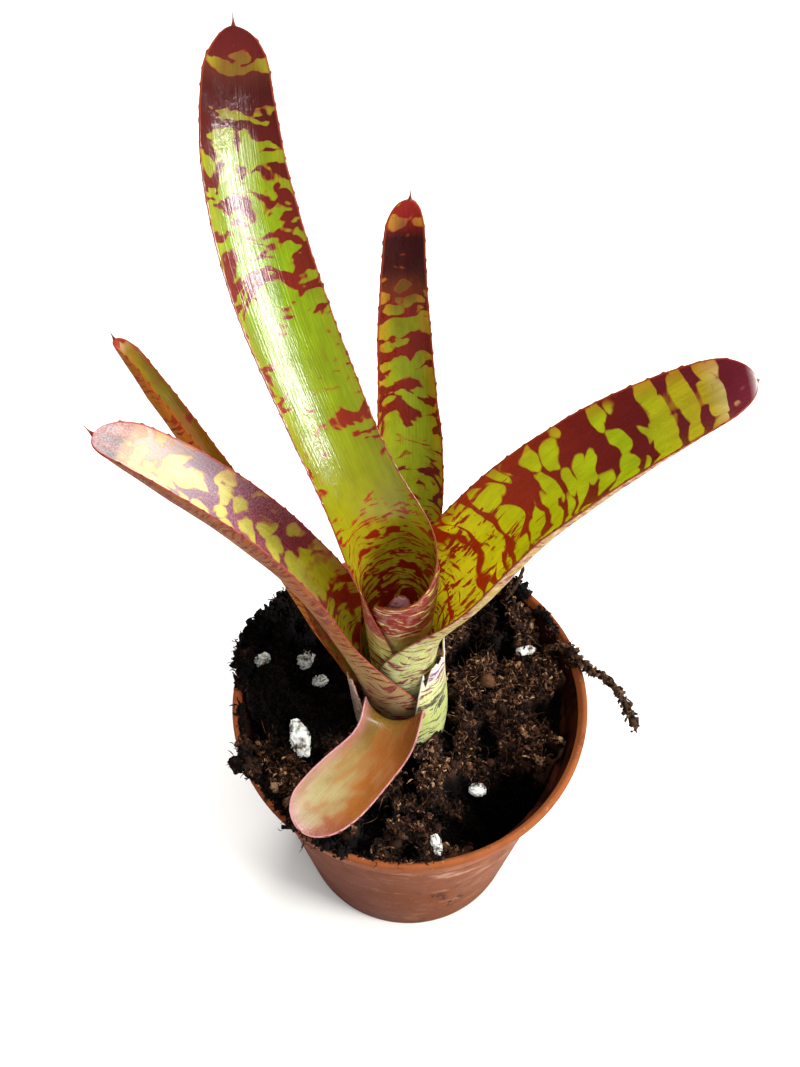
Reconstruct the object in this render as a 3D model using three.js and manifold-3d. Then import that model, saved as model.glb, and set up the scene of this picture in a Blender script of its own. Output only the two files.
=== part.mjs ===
// Neoregelia bromeliad with open, banded leaves, growing in a small plastic nursery pot.
// Millimetres, +Z up. The origin is the centre of the pot's base, and +Y runs to the back.
import * as THREE from 'three';
import { mergeVertices } from 'three/addons/utils/BufferGeometryUtils.js';
import Module from 'manifold-3d';

const wasm = await Module();
wasm.setup();

// ---- sizes ----

const GAP = 0.3;                       // clearance kept between neighbouring pieces

const POT = {
  height: 84, rimRadius: 45, baseRadius: 31.9, wall: 1.4, floor: 1.6, sides: 60,
  lipHeight: 2.2, lipInner: 43.2,      // the flat turned-out edge
  collarLow: 70, collarLowRadius: 42, collarHighRadius: 43.7, wallTopRadius: 40.5,
  holes: 8, holeRadius: 3, holeRing: 23,
};

const PLANT = { x: -2.5, y: 0.5, soilZ: 76, footZ: 70, hole: 12.5, flare: 0.06 };

const LEAF = {
  edge: 0.6, middle: 0.95,             // thickness at the margins and along the midrib
  toothPitch: 3.8, toothHeight: 0.45, spine: 1.8,
};

const STEM = { radius: 3.5, top: 100 };

// The soil's level and its mounds and hollows: [azimuth, distance, height, spread].
const SOIL = {
  level: 77.5, rings: 9, spokes: 40, ripple: 0.5,
  mounds: [
    [152, 38, 8, 11], [178, 39, 5, 8], [50, 38, 7, 10], [15, 37, 2.5, 11],
    [214, 38, 3.5, 10], [252, 38, 4, 11], [316, 38, -20, 12], [278, 39, 2, 7],
  ],
};

// Perlite grains: [x, y, half length, half width, half height, turn].
const PERLITE = [
  [-38.5, 9.5, 2.4, 2, 1.8, 20], [-27.5, 10.5, 3, 2.4, 1.9, 60], [-23.5, 6, 2.2, 1.8, 1.6, 0],
  [-27.5, -10.5, 5.6, 2.9, 2.4, 108], [17.6, -18, 2.1, 2.4, 1.8, 70], [30.5, 15.5, 2.8, 1.6, 1.5, 10],
  [6.9, -37, 1.5, 3, 1.8, 15],
];

// Old roots. Each starts on the soil at [x, y] and follows its centre line [x, y, z]; the first
// is laid over the pot's lip.
const ROOTS = [
  { radius: 0.8, start: [36.5, 16.5], line: [[41, 13, 85.3], [45.5, 7.5, 85.5], [50, 5, 85.2],
    [54.5, -0.5, 83], [57.5, -5.5, 78.5]] },
  { radius: 0.5, start: [25, 28.5], line: [[28, 31.5, 87], [30, 35, 91.5]] },
];

const rad = THREE.MathUtils.degToRad;

// One station inside the rosette's tube: a ring of the nest, with the angles that it covers
// clockwise and counter-clockwise of the midrib.
function sheath(nest, z, clockwise, counter) {
  const r = nest + PLANT.flare * (z - PLANT.soilZ);
  return [r, 0, z, r * rad(clockwise), r * rad(counter), r];
}

// Leaves, from the innermost out. A station is [out, side, up, clockwise half width,
// counter-clockwise half width, section radius]. `coil` opens the section into a spiral, by mm
// for each radian, so that one margin tucks under the other. `blade` is where the free blade
// starts, as a share of the stations, and `round` is the length of the rounded tip.
const LEAVES = {
  leaf_heart: {
    azimuth: 300, cells: 10, round: 5, blade: 0.6, coil: 0.12,
    stations: [[2.6, 0, 100.3, 7, 7, 2.6], [2.7, 0, 109, 7, 7, 2.7], [2.9, 0, 118, 6.5, 6, 2.9],
      [2.6, 0, 127, 4.5, 4, 3], [1.6, 0, 134.5, 2.4, 2, 3]],
  },
  leaf_tall: {
    azimuth: 118, cells: 18, round: 9, blade: 0.6, coil: 0.175,
    stations: [sheath(5.2, 70, 200, 150), sheath(5.2, 90, 240, 160), sheath(5.2, 108, 262, 165),
      sheath(5.2, 121, 262, 160), sheath(5.2, 131, 262, 120), sheath(5.2, 137, 235, 85),
      [8.5, 1.5, 142, 18, 12, 9.5], [11, 4, 153, 9, 8, 11], [28.5, 7.5, 176, 10.5, 9.5, 12],
      [46, 8.5, 197.5, 9.5, 10.5, 12], [60, 4, 215, 7.5, 9, 12], [72, -1.5, 224, 5.5, 3.5, 12]],
  },
  leaf_right: {
    azimuth: 12, cells: 14, round: 7, blade: 0.4, coil: 0,
    stations: [sheath(6.7, 70, 150, 150), sheath(6.7, 92, 150, 150), sheath(6.7, 108, 140, 140),
      [10, 0, 120, 18, 16, 10], [18, -3, 132.5, 13.5, 20, 11], [29, -1, 152, 13.5, 15.5, 12],
      [45, -1, 168, 12.5, 13.5, 12], [60, -0.5, 180.5, 9, 8.5, 12], [67, -2.5, 186, 5, 5.5, 12]],
  },
  leaf_back: {
    azimuth: 88, cells: 12, round: 7, blade: 0.5, coil: 0,
    stations: [sheath(7.7, 70, 120, 130), sheath(7.7, 86, 90, 120), sheath(7.7, 97, 60, 95),
      [10.2, 0, 112, 8, 11, 11], [16, -0.5, 132, 8.5, 11.5, 10], [20.5, -2, 153, 8.5, 9, 8],
      [27.5, 0, 180, 4.5, 7.5, 7], [34.5, 0, 208, 2.5, 4.5, 6]],
  },
  leaf_left: {
    azimuth: 170, cells: 14, round: 9, blade: 0.5, coil: 0,
    stations: [sheath(8.7, 70, 120, 140), sheath(8.7, 83, 110, 140), sheath(8.7, 93, 60, 135),
      [12.3, 0, 104, 10, 18, 10.5], [20, -2, 122, 10.5, 10.5, 11], [33, -2, 142.5, 9, 8.5, 11],
      [48, -1, 157, 8.5, 8.5, 11], [62.5, -1.5, 168.5, 5, 6, 11]],
  },
  leaf_far_left: {
    azimuth: 151, cells: 12, round: 7, blade: 0.45, coil: 0,
    stations: [sheath(9.7, 70, 120, 120), sheath(9.7, 78, 100, 90), sheath(9.7, 85, 60, 50),
      [14.5, 0, 93, 9, 8, 8], [25, 1.5, 110, 8, 7, 6], [35, 2, 129, 6.5, 6, 5],
      [48, 1.5, 147.5, 6.5, 6, 5], [59, 0, 161, 5.5, 5.5, 4.6], [68.5, -1, 173.5, 3.5, 4, 4]],
  },
  leaf_front: {
    azimuth: 262, cells: 12, round: 7, blade: 0.4, coil: 0,
    stations: [sheath(10.7, 70, 90, 90), sheath(10.7, 80, 75, 70), sheath(10.7, 88, 48, 45),
      [12.3, 0.3, 93, 7.5, 7.5, 8], [14.5, 1, 96.5, 7, 7.5, 8], [20, -1.5, 92, 7.5, 7.5, 10],
      [28, -8, 88, 9, 8.5, 12], [35, -13, 86.5, 8.5, 9, 13], [41, -17, 87.5, 7, 7, 13]],
  },
  sheath_right: {
    azimuth: 332, cells: 8, round: 4, blade: 1, coil: 0,
    stations: [sheath(11.7, 70, 42, 55), sheath(11.7, 82, 38, 50), sheath(11.7, 95, 30, 42),
      sheath(11.7, 108, 24, 34)],
  },
  sheath_left: {
    azimuth: 210, cells: 8, round: 4, blade: 1, coil: 0,
    stations: [sheath(11.7, 70, 42, 24), sheath(11.7, 80, 30, 20), sheath(11.7, 92, 17, 14),
      sheath(11.7, 104, 10, 7)],
  },
};

// Colour, roughness and metalness of each material.
const MATERIALS = {
  plastic: ['#a5624a', 0.6, 0], soil: ['#2a1d15', 0.95, 0], perlite: ['#e9ebe6', 0.8, 0],
  leaf: ['#a7b23f', 0.35, 0], oldLeaf: ['#c9a45c', 0.5, 0], stem: ['#cdbf8a', 0.6, 0],
  root: ['#4a3526', 0.9, 0],
};

// ---- helpers ----

function material(name) {
  const [color, roughness, metalness] = MATERIALS[name];
  return new THREE.MeshStandardMaterial({ name, color, roughness, metalness });
}

const group = new THREE.Group();
group.name = 'neoregelia';

function add(name, geometry, materialName) {
  const mesh = new THREE.Mesh(geometry, material(materialName));
  mesh.name = name;
  group.add(mesh);
}

function toManifold(geometry) {
  const bare = geometry.clone();
  bare.deleteAttribute('normal');
  bare.deleteAttribute('uv');
  const welded = mergeVertices(bare, 1e-4);
  return new wasm.Manifold(new wasm.Mesh({
    numProp: 3,
    vertProperties: new Float32Array(welded.attributes.position.array),
    triVerts: new Uint32Array(welded.index.array),
  }));
}

function fromManifold(solid) {
  const mesh = solid.getMesh();
  const geometry = new THREE.BufferGeometry();
  geometry.setAttribute('position', new THREE.BufferAttribute(new Float32Array(mesh.vertProperties), 3));
  geometry.setIndex(new THREE.BufferAttribute(new Uint32Array(mesh.triVerts), 1));
  geometry.computeVertexNormals();
  return geometry;
}

// A closed solid from points and triangles, turned to face outwards.
function closedGeometry(points, triangles) {
  let volume = 0;
  for (const [a, b, c] of triangles) {
    volume += points[a].dot(new THREE.Vector3().crossVectors(points[b], points[c])) / 6;
  }
  const faces = volume < 0 ? triangles.map(([a, b, c]) => [a, c, b]) : triangles;
  const geometry = new THREE.BufferGeometry();
  geometry.setFromPoints(points);
  geometry.setIndex(faces.flat());
  geometry.computeVertexNormals();
  return geometry;
}

// Seeded draws in 0..1, the same on each run.
function draws(seed) {
  let state = seed;
  return () => {
    state = (state * 1664525 + 1013904223) % 4294967296;
    return state / 4294967296;
  };
}

const lathe = (outline, sides) => {
  const geometry = new THREE.LatheGeometry(outline.map(([r, z]) => new THREE.Vector2(r, z)), sides);
  return geometry.rotateX(Math.PI / 2);
};

function cylinder(radius, low, high, sides, x = 0, y = 0) {
  const geometry = new THREE.CylinderGeometry(radius, radius, high - low, sides);
  return geometry.rotateX(Math.PI / 2).translate(x, y, (low + high) / 2);
}

// ---- leaves ----

// A uniform cubic B-spline through the stations, with its ends on the first and last of them.
function splineAt(stations, t) {
  const last = stations.length - 1;
  const at = (i) => {
    if (i < 0) return stations[0].map((v, k) => 2 * v - stations[1][k]);
    if (i > last) return stations[last].map((v, k) => 2 * v - stations[last - 1][k]);
    return stations[i];
  };
  const x = Math.min(Math.max(t, 0) * last, last - 1e-9);
  const i = Math.floor(x);
  const f = x - i;
  const weights = [(1 - f) ** 3, 3 * f ** 3 - 6 * f ** 2 + 4, -3 * f ** 3 + 3 * f ** 2 + 3 * f + 1, f ** 3];
  return stations[0].map((_, k) => weights.reduce((sum, w, n) => sum + w * at(i - 1 + n)[k], 0) / 6);
}

function midrib(leaf, t) {
  const [out, side, up] = splineAt(leaf.stations, t);
  const a = rad(leaf.azimuth);
  return new THREE.Vector3(
    PLANT.x + out * Math.cos(a) - side * Math.sin(a),
    PLANT.y + out * Math.sin(a) + side * Math.cos(a), up);
}

// Arc length along the midrib, and its inverse, from a fine table.
function lengthTable(leaf) {
  const steps = 400;
  const lengths = [0];
  for (let i = 1; i <= steps; i++) {
    const step = midrib(leaf, i / steps).distanceTo(midrib(leaf, (i - 1) / steps));
    lengths.push(lengths[i - 1] + step);
  }
  const total = lengths[steps];
  const shareAt = (s) => {
    const i = Math.min(Math.max(lengths.findIndex((v) => v >= s), 1), steps);
    return (i - 1 + (s - lengths[i - 1]) / (lengths[i] - lengths[i - 1])) / steps;
  };
  const lengthAt = (t) => {
    const x = Math.min(t * steps, steps - 1e-9);
    const i = Math.floor(x);
    return lengths[i] + (x - i) * (lengths[i + 1] - lengths[i]);
  };
  return { total, shareAt, lengthAt };
}

// The section at share t: where it is, how it is turned and how wide it is.
function section(leaf, table, t) {
  const [, , , clockwise, counter, radius] = splineAt(leaf.stations, t);
  const a = rad(leaf.azimuth);
  const along = midrib(leaf, Math.min(t + 1e-4, 1)).sub(midrib(leaf, Math.max(t - 1e-4, 0))).normalize();
  const side = new THREE.Vector3(-Math.sin(a), Math.cos(a), 0);
  side.addScaledVector(along, -side.dot(along)).normalize();
  const inward = new THREE.Vector3().crossVectors(along, side);
  const left = table.total - table.lengthAt(t);
  const taper = left < leaf.round ? Math.sqrt(Math.max(1 - (1 - left / leaf.round) ** 2, 0)) : 1;
  return {
    centre: midrib(leaf, t), side, inward, radius, along,
    low: -clockwise * taper, high: counter * taper,
    blade: THREE.MathUtils.smoothstep(t, leaf.blade, leaf.blade + 0.15),
  };
}

// A point of the leaf's upper (+1) or lower (-1) face, at the share u across and `extra` beyond
// the margin. The section is an arc of the given radius, or a spiral where the leaf is coiled.
function facePoint(leaf, sec, u, face, extra = 0) {
  const arc = THREE.MathUtils.lerp(sec.low, sec.high, u) + (u < 0.5 ? -extra : extra);
  const angle = arc / sec.radius;
  const across = 2 * u - 1;
  const thickness = LEAF.edge + (LEAF.middle - LEAF.edge) * (1 - across * across) * sec.blade;
  const r = sec.radius + leaf.coil * angle - face * thickness / 2;
  return sec.centre.clone()
    .addScaledVector(sec.side, r * Math.sin(angle))
    .addScaledVector(sec.inward, sec.radius - r * Math.cos(angle));
}

// Shares of the stations where a leaf has its rows: even along it, then closer round the tip.
function rowShares(leaf, table) {
  const tipStart = table.shareAt(table.total - leaf.round);
  const rows = Math.round((leaf.stations.length - 1) * 2);
  const shares = Array.from({ length: rows + 1 }, (_, i) => tipStart * i / rows);
  for (const width of [0.93, 0.75, 0.5, 0.22]) {
    const left = leaf.round * (1 - Math.sqrt(1 - width * width));
    shares.push(table.shareAt(table.total - left));
  }
  return shares;
}

// Fine steps between two rows along a margin: [share of the gap, tooth height].
function marginSteps(leaf, table, from, to) {
  const gap = table.lengthAt(to) - table.lengthAt(from);
  if (from < leaf.blade || table.total - table.lengthAt(to) < leaf.round * 0.3) return [];
  const teeth = Math.max(Math.round(gap / LEAF.toothPitch), 1);
  const steps = [];
  for (let k = 0; k < teeth; k++) {
    steps.push([(k + 0.62) / teeth, 0], [(k + 0.85) / teeth, LEAF.toothHeight]);
    if (k < teeth - 1) steps.push([(k + 1) / teeth, 0]);
  }
  return steps;
}

function leafGeometry(leaf) {
  const table = lengthTable(leaf);
  const shares = rowShares(leaf, table);
  const rows = shares.length - 1;
  const points = [];
  const triangles = [];
  const put = (point) => points.push(point) - 1;
  const faces = [1, -1];

  // grid[face][row][column] for the inner columns; edges[face][margin][row] lists a margin's
  // points from that row up to the next, on the straight line between the two rows apart from
  // its teeth, so that the wall keeps its thickness.
  const sections = shares.map((t) => section(leaf, table, t));
  const grid = faces.map((face) => sections.map((sec) => Array.from({ length: leaf.cells - 1 },
    (_, j) => put(facePoint(leaf, sec, (j + 1) / leaf.cells, face)))));
  const edges = faces.map((face) => [0, 1].map((u) => shares.map((t, i) => {
    const start = facePoint(leaf, sections[i], u, face);
    const list = [{ id: put(start), tooth: false }];
    if (i === rows) return list;
    const end = facePoint(leaf, sections[i + 1], u, face);
    for (const [share, height] of marginSteps(leaf, table, t, shares[i + 1])) {
      const between = section(leaf, table, THREE.MathUtils.lerp(t, shares[i + 1], share));
      const tooth = facePoint(leaf, between, u, face, height).sub(facePoint(leaf, between, u, face));
      list.push({ id: put(start.clone().lerp(end, share).add(tooth)), tooth: height > 0 });
    }
    return list;
  })));
  const edgeRun = (f, m, i) => [...edges[f][m][i], edges[f][m][i + 1][0]];

  const quad = (a, b, c, d, flip) => {
    triangles.push(...(flip ? [[a, c, b], [a, d, c]] : [[a, b, c], [a, c, d]]));
  };
  // Fills from the two inner points to the margin's straight line, and each tooth by itself.
  const fan = (inner, run, flip) => {
    const triangle = (a, b, c) => triangles.push(flip ? [a, c, b] : [a, b, c]);
    const line = run.filter((point) => !point.tooth).map((point) => point.id);
    const middle = Math.floor(line.length / 2);
    for (let k = 0; k < line.length - 1; k++) {
      triangle(inner[k < middle ? 0 : 1], line[k], line[k + 1]);
    }
    triangle(inner[0], line[middle], inner[1]);
    run.forEach((point, k) => {
      if (point.tooth) triangle(run[k - 1].id, point.id, run[k + 1].id);
    });
  };

  for (let i = 0; i < rows; i++) {
    faces.forEach((_, f) => {
      const g = grid[f];
      for (let j = 0; j < leaf.cells - 2; j++) {
        quad(g[i][j], g[i][j + 1], g[i + 1][j + 1], g[i + 1][j], f === 1);
      }
      fan([g[i][0], g[i + 1][0]], edgeRun(f, 0, i), f === 0);
      fan([g[i].at(-1), g[i + 1].at(-1)], edgeRun(f, 1, i), f === 1);
    });
    for (const m of [0, 1]) {
      const upper = edgeRun(0, m, i);
      const lower = edgeRun(1, m, i);
      for (let k = 0; k < upper.length - 1; k++) {
        quad(upper[k].id, upper[k + 1].id, lower[k + 1].id, lower[k].id, m === 1);
      }
    }
  }

  // The foot is a flat cut and the tip ends in a short spine.
  const loop = (i) => [
    edges[0][0][i][0].id, ...grid[0][i], edges[0][1][i][0].id,
    edges[1][1][i][0].id, ...grid[1][i].toReversed(), edges[1][0][i][0].id,
  ];
  const foot = loop(0);
  const half = foot.length / 2;
  for (let k = 0; k < half - 1; k++) {
    quad(foot[k + 1], foot[k], foot[foot.length - 1 - k], foot[foot.length - 2 - k], false);
  }
  const end = sections[rows];
  const spine = put(end.centre.clone().addScaledVector(end.along, LEAF.spine));
  const rim = loop(rows);
  rim.forEach((a, k) => triangles.push([a, rim[(k + 1) % rim.length], spine]));
  return closedGeometry(points, triangles);
}

// ---- pot, soil and small pieces ----

function potWallRadius(z) {
  return THREE.MathUtils.mapLinear(z, 0, POT.collarLow, POT.baseRadius, POT.wallTopRadius);
}

function pot() {
  const lipZ = POT.height - POT.lipHeight;
  const outline = [
    [0, 0], [POT.baseRadius - 0.8, 0], [POT.baseRadius, 0.8], [POT.wallTopRadius, POT.collarLow],
    [POT.collarLowRadius, POT.collarLow + 0.8], [POT.collarHighRadius, lipZ],
    [POT.rimRadius - 0.4, lipZ + 0.2], [POT.rimRadius, lipZ + 0.8], [POT.rimRadius, POT.height - 0.5],
    [POT.rimRadius - 0.5, POT.height], [POT.lipInner + 0.3, POT.height],
    [POT.lipInner, POT.height - 0.4], [POT.collarHighRadius - POT.wall, lipZ],
    [POT.collarLowRadius - POT.wall, POT.collarLow + 1.6],
    [POT.wallTopRadius - POT.wall, POT.collarLow + 0.4], [potWallRadius(POT.floor) - POT.wall, POT.floor],
    [0, POT.floor],
  ];
  let solid = toManifold(lathe(outline, POT.sides));
  for (let k = 0; k < POT.holes; k++) {
    const a = 2 * Math.PI * (k + 0.5) / POT.holes;
    const hole = cylinder(POT.holeRadius, -1, POT.floor + 1, 16,
      POT.holeRing * Math.cos(a), POT.holeRing * Math.sin(a));
    solid = solid.subtract(toManifold(hole));
  }
  return fromManifold(solid);
}

function soilHeight(x, y) {
  let z = SOIL.level + SOIL.ripple * (Math.sin(0.55 * x + 0.3 * y) + Math.sin(0.47 * y - 0.35 * x + 1));
  for (const [azimuth, distance, height, spread] of SOIL.mounds) {
    const dx = x - distance * Math.cos(rad(azimuth));
    const dy = y - distance * Math.sin(rad(azimuth));
    z += height * Math.exp(-(dx * dx + dy * dy) / (spread * spread));
  }
  return z;
}

// The soil's outer radius follows the inside of the pot, its step at the collar included.
function soilRadius(z) {
  if (z < POT.collarLow) return potWallRadius(z) - POT.wall - GAP - 0.1;
  const step = THREE.MathUtils.smoothstep(z, POT.collarLow + 1, POT.collarLow + 4);
  const low = POT.wallTopRadius - POT.wall - GAP - 0.1;
  return low + step * 1.4 + Math.min(Math.max(z - POT.collarLow - 4, 0) * 0.13, 1.3);
}

function grain([, , length, width, height], seed, swell = 0) {
  const random = draws(seed);
  const shape = mergeVertices(new THREE.IcosahedronGeometry(1, 1).deleteAttribute('normal')
    .deleteAttribute('uv'));
  const place = shape.attributes.position;
  const vertex = new THREE.Vector3();
  for (let i = 0; i < place.count; i++) {
    vertex.fromBufferAttribute(place, i).multiplyScalar(0.86 + 0.22 * random());
    place.setXYZ(i, vertex.x * (length + swell), vertex.y * (width + swell), vertex.z * (height + swell));
  }
  return shape;
}

function placeGrain(geometry, [x, y, , , height, turn]) {
  return geometry.rotateZ(rad(turn)).translate(x, y, soilHeight(x, y) + 0.25 * height);
}

function soil() {
  const low = POT.floor + GAP;
  const points = [];
  const triangles = [];
  const rows = [];
  const ring = (radiusOf, heightOf) => {
    rows.push(Array.from({ length: SOIL.spokes }, (_, k) => {
      const a = 2 * Math.PI * k / SOIL.spokes;
      const r = radiusOf(a);
      const x = r * Math.cos(a);
      const y = r * Math.sin(a);
      return points.push(new THREE.Vector3(x, y, heightOf(x, y))) - 1;
    }));
  };
  const rimRadius = (a) => {
    const z = soilHeight(41 * Math.cos(a), 41 * Math.sin(a));
    return soilRadius(z);
  };
  ring(() => soilRadius(low), () => low);
  ring(() => soilRadius(POT.height / 2), () => POT.height / 2);
  const shoulder = (x, y) => Math.min(POT.collarLow - 0.5, soilHeight(x, y) - 1);
  ring((a) => soilRadius(shoulder(41 * Math.cos(a), 41 * Math.sin(a))), shoulder);
  for (let k = 0; k < SOIL.rings; k++) {
    const share = 1 - 0.9 * (k / (SOIL.rings - 1)) ** 0.9;
    ring((a) => rimRadius(a) * share, soilHeight);
  }
  const bottom = points.push(new THREE.Vector3(0, 0, low)) - 1;
  const top = points.push(new THREE.Vector3(0, 0, soilHeight(0, 0))) - 1;
  for (let k = 0; k < SOIL.spokes; k++) {
    const next = (k + 1) % SOIL.spokes;
    triangles.push([bottom, rows[0][next], rows[0][k]], [top, rows.at(-1)[k], rows.at(-1)[next]]);
    for (let i = 0; i < rows.length - 1; i++) {
      triangles.push([rows[i][k], rows[i][next], rows[i + 1][next]],
        [rows[i][k], rows[i + 1][next], rows[i + 1][k]]);
    }
  }
  let solid = toManifold(closedGeometry(points, triangles));
  solid = solid.subtract(toManifold(
    cylinder(PLANT.hole, PLANT.footZ - GAP, POT.height + 20, 40, PLANT.x, PLANT.y)));
  PERLITE.forEach((size, k) => {
    solid = solid.subtract(toManifold(placeGrain(grain(size, 11 + k, GAP + 0.1), size)));
  });
  return fromManifold(solid);
}

function root({ radius, start: [x, y], line }) {
  const points = [[x, y, soilHeight(x, y) + radius + GAP], ...line];
  const path = new THREE.CatmullRomCurve3(points.map((p) => new THREE.Vector3(...p)));
  const shape = new THREE.Shape();
  for (let k = 0; k < 7; k++) {
    const a = 2 * Math.PI * k / 7;
    const point = [radius * Math.cos(a), radius * Math.sin(a)];
    if (k === 0) shape.moveTo(...point); else shape.lineTo(...point);
  }
  shape.closePath();
  return new THREE.ExtrudeGeometry(shape,
    { steps: line.length * 3, extrudePath: path, bevelEnabled: false });
}

function stem() {
  const { radius, top } = STEM;
  return lathe([[0, PLANT.footZ], [radius - 0.4, PLANT.footZ], [radius, PLANT.footZ + 0.6],
    [radius, top - 3], [radius - 1, top - 0.6], [radius - 1.8, top], [0, top]], 20)
    .translate(PLANT.x, PLANT.y, 0);
}

// ---- the assembly ----

add('pot', pot(), 'plastic');
add('soil', soil(), 'soil');
add('stem', stem(), 'stem');
for (const [name, leaf] of Object.entries(LEAVES)) {
  const old = name === 'leaf_front' || name.startsWith('sheath');
  add(name, leafGeometry(leaf), old ? 'oldLeaf' : 'leaf');
}
PERLITE.forEach((size, k) => {
  add(`perlite_${k + 1}`, placeGrain(grain(size, 11 + k), size), 'perlite');
});
ROOTS.forEach((line, k) => add(`root_${k + 1}`, root(line), 'root'));

export default group;
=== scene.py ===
"""Neoregelia bromeliad with open, banded leaves in a small plastic nursery pot.

Lengths are in millimetres until a mesh is made, which holds metres. +Z is up, +Y runs to the
back, and the origin is the centre of the pot's base.
"""

import bmesh
import bpy
import numpy as np
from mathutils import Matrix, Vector


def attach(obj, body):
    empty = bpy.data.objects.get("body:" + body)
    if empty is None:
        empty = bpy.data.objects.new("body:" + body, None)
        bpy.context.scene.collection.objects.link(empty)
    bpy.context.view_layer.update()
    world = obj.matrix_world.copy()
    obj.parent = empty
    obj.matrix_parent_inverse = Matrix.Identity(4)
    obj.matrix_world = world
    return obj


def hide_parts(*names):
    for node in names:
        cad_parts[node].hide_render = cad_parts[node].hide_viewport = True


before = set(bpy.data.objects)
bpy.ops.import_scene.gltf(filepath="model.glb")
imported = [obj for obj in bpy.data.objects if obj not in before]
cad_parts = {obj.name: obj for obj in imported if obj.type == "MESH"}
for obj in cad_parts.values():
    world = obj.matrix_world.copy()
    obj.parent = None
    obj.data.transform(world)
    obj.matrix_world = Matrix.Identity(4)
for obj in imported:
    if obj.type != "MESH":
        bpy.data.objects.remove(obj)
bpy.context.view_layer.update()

# ---- sizes ----

MM = 0.001
PLANT = {"x": -2.5, "y": 0.5, "soil_z": 76, "hole": 12.5, "flare": 0.06}
LEAF = {
    "edge": 0.36, "middle": 0.9, "tooth_pitch": 3.3, "tooth_height": 0.28,
    "cells": 44, "foot_row": 1.1, "blade_row": 0.42,
}
# The rings of a leaf's end spine: share of the way to its point, and width.
SPINE_RINGS = [(0.12, 0.8), (0.3, 0.5), (0.5, 0.38), (0.7, 0.28), (0.88, 0.2)]

POT = {
    "height": 84, "rim": 45, "base": 31.9, "wall": 1.1, "floor": 1.6,
    "lip_height": 2.2, "lip_inner": 43.8,
    "collar_low": 70, "collar_low_r": 42, "collar_high_r": 43.7, "wall_top_r": 40.5,
    "holes": 8, "hole_radius": 3, "hole_ring": 23,
}

SOIL = {
    "level": 77.5, "floor": 1.9, "rim": 41, "reach": 41.3, "sunk": 69.8, "sunk_radius": 11.6,
}

# The soil's mounds and hollows: azimuth, distance, height, spread.
MOUNDS = [
    (152, 38, 8, 11), (178, 39, 5, 8), (50, 38, 7, 10), (15, 37, 2.5, 11),
    (214, 38, 3.5, 10), (252, 38, 4, 11), (316, 40, -34, 13), (278, 39, 2, 7),
    (322, 17, -4, 6),
]

# Patches of painted shade, where the soil is nearly black: x, y, half widths along x and y,
# how much.
SHADE_PATCHES = [(-27, 7, 17, 22, 0.9), (28, -27, 15, 14, 1.0), (-8, -12, 7, 4, 0.6)]

# Perlite grains: x, y, half length, half width, half height, turn, tone; the low tone of the
# first three, which lie under the leaves, is painted shade.
PERLITE = [
    (-38.5, 9.5, 2.4, 2, 1.8, 20, 0.4), (-27.5, 10.5, 3, 2.4, 1.9, 60, 0.4),
    (-23.5, 6, 2.2, 1.8, 1.6, 0, 0.4), (-27.5, -10.5, 5.6, 2.9, 2.4, 108, 1),
    (17.6, -18, 2.1, 2.4, 1.8, 70, 1), (30.5, 15.5, 2.8, 1.6, 1.5, 10, 1),
    (6.9, -37, 1.5, 3, 1.8, 15, 1),
]

# Old roots that leave the soil; lumps is how uneven they are.
ROOTS = [
    {"radius": 0.8, "lumps": 0.9, "start": (36.5, 16.5),
     "line": [(41, 13, 85.3), (45.5, 7.5, 85.5), (50, 5, 85.2), (54.5, -0.5, 83),
              (57.5, -5.5, 78.5)]},
    {"radius": 0.5, "lumps": 0.7, "start": (25, 28.5),
     "line": [(28, 31.5, 87), (30, 35, 91.5)]},
]

# Loose crumbs: piece, count, middle of the logarithm of the size, lift in sizes, seed.
CRUMBS = [("soil_crumbs", 7400, -0.95, 0.35, 6), ("soil_lumps", 2200, -0.3, -0.1, 7)]

# Loose threads: length, radius, how far they rise and curl, rows, sides, tone.
THREADS = {
    "shred": ((0.6, 2.2), (0.12, 0.34), 1.3, 3, 4, 3, (0, 1)),
    "fibre": ((1.5, 5.5), (0.04, 0.1), 0.5, 1.1, 7, 3, (0.45, 1)),
    "spilt": ((0.8, 2.2), (0.1, 0.24), 1.2, 2.4, 4, 3, (0, 0.9)),
    "hair": ((1, 2.4), (0.06, 0.14), 0.5, 1.1, 9, 4, (0.45, 1)),
}

# Roots are this dry, from 0, damp and dark, to 1, dry and light.
ROOT = {"lightness": 0.8, "sides": 14, "rows": 90}

# Loose soil on the lip and over it, each along an arc of the rim: azimuth from and to, distance
# from the axis, its spread, lowest and highest point, lumps and their size.
SPILLS = [
    (124, 179, 43.4, 1.6, 83.6, 88.4, 1400, 0.5), (150, 171, 45.7, 0.9, 84.3, 88, 330, 0.45),
    (184, 199, 42.9, 0.8, 83.4, 85.2, 120, 0.4), (199, 213, 43.6, 1.3, 83.8, 86.6, 330, 0.5),
    (203, 208, 46.4, 1.0, 83.8, 85.6, 130, 0.42), (44, 66, 43.2, 1.5, 83.8, 89, 560, 0.5),
    (213, 233, 43.2, 1.0, 83.4, 85.2, 180, 0.4), (230, 252, 43.7, 1.5, 83.8, 85.8, 330, 0.42),
    (26, 38, 42.8, 1.0, 83.6, 85.4, 140, 0.4), (12, 21, 43.2, 1.1, 83.8, 86.2, 150, 0.42),
    (252, 282, 43, 0.8, 83, 84.6, 110, 0.35),
]

# Shreds of root that stand up from the soil: start, height and lean.
UPRIGHTS = [((25, 28.5, 84), 9, (0.14, 0.2)), ((23.5, 30.5, 85), 6, (-0.2, 0.1))]


def sheath(nest, z, clockwise, counter):
    """A station inside the rosette's tube: a ring of the nest and the angles it covers."""
    r = nest + PLANT["flare"] * (z - PLANT["soil_z"])
    return (r, 0, z, r * np.radians(clockwise), r * np.radians(counter), r)


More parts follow.
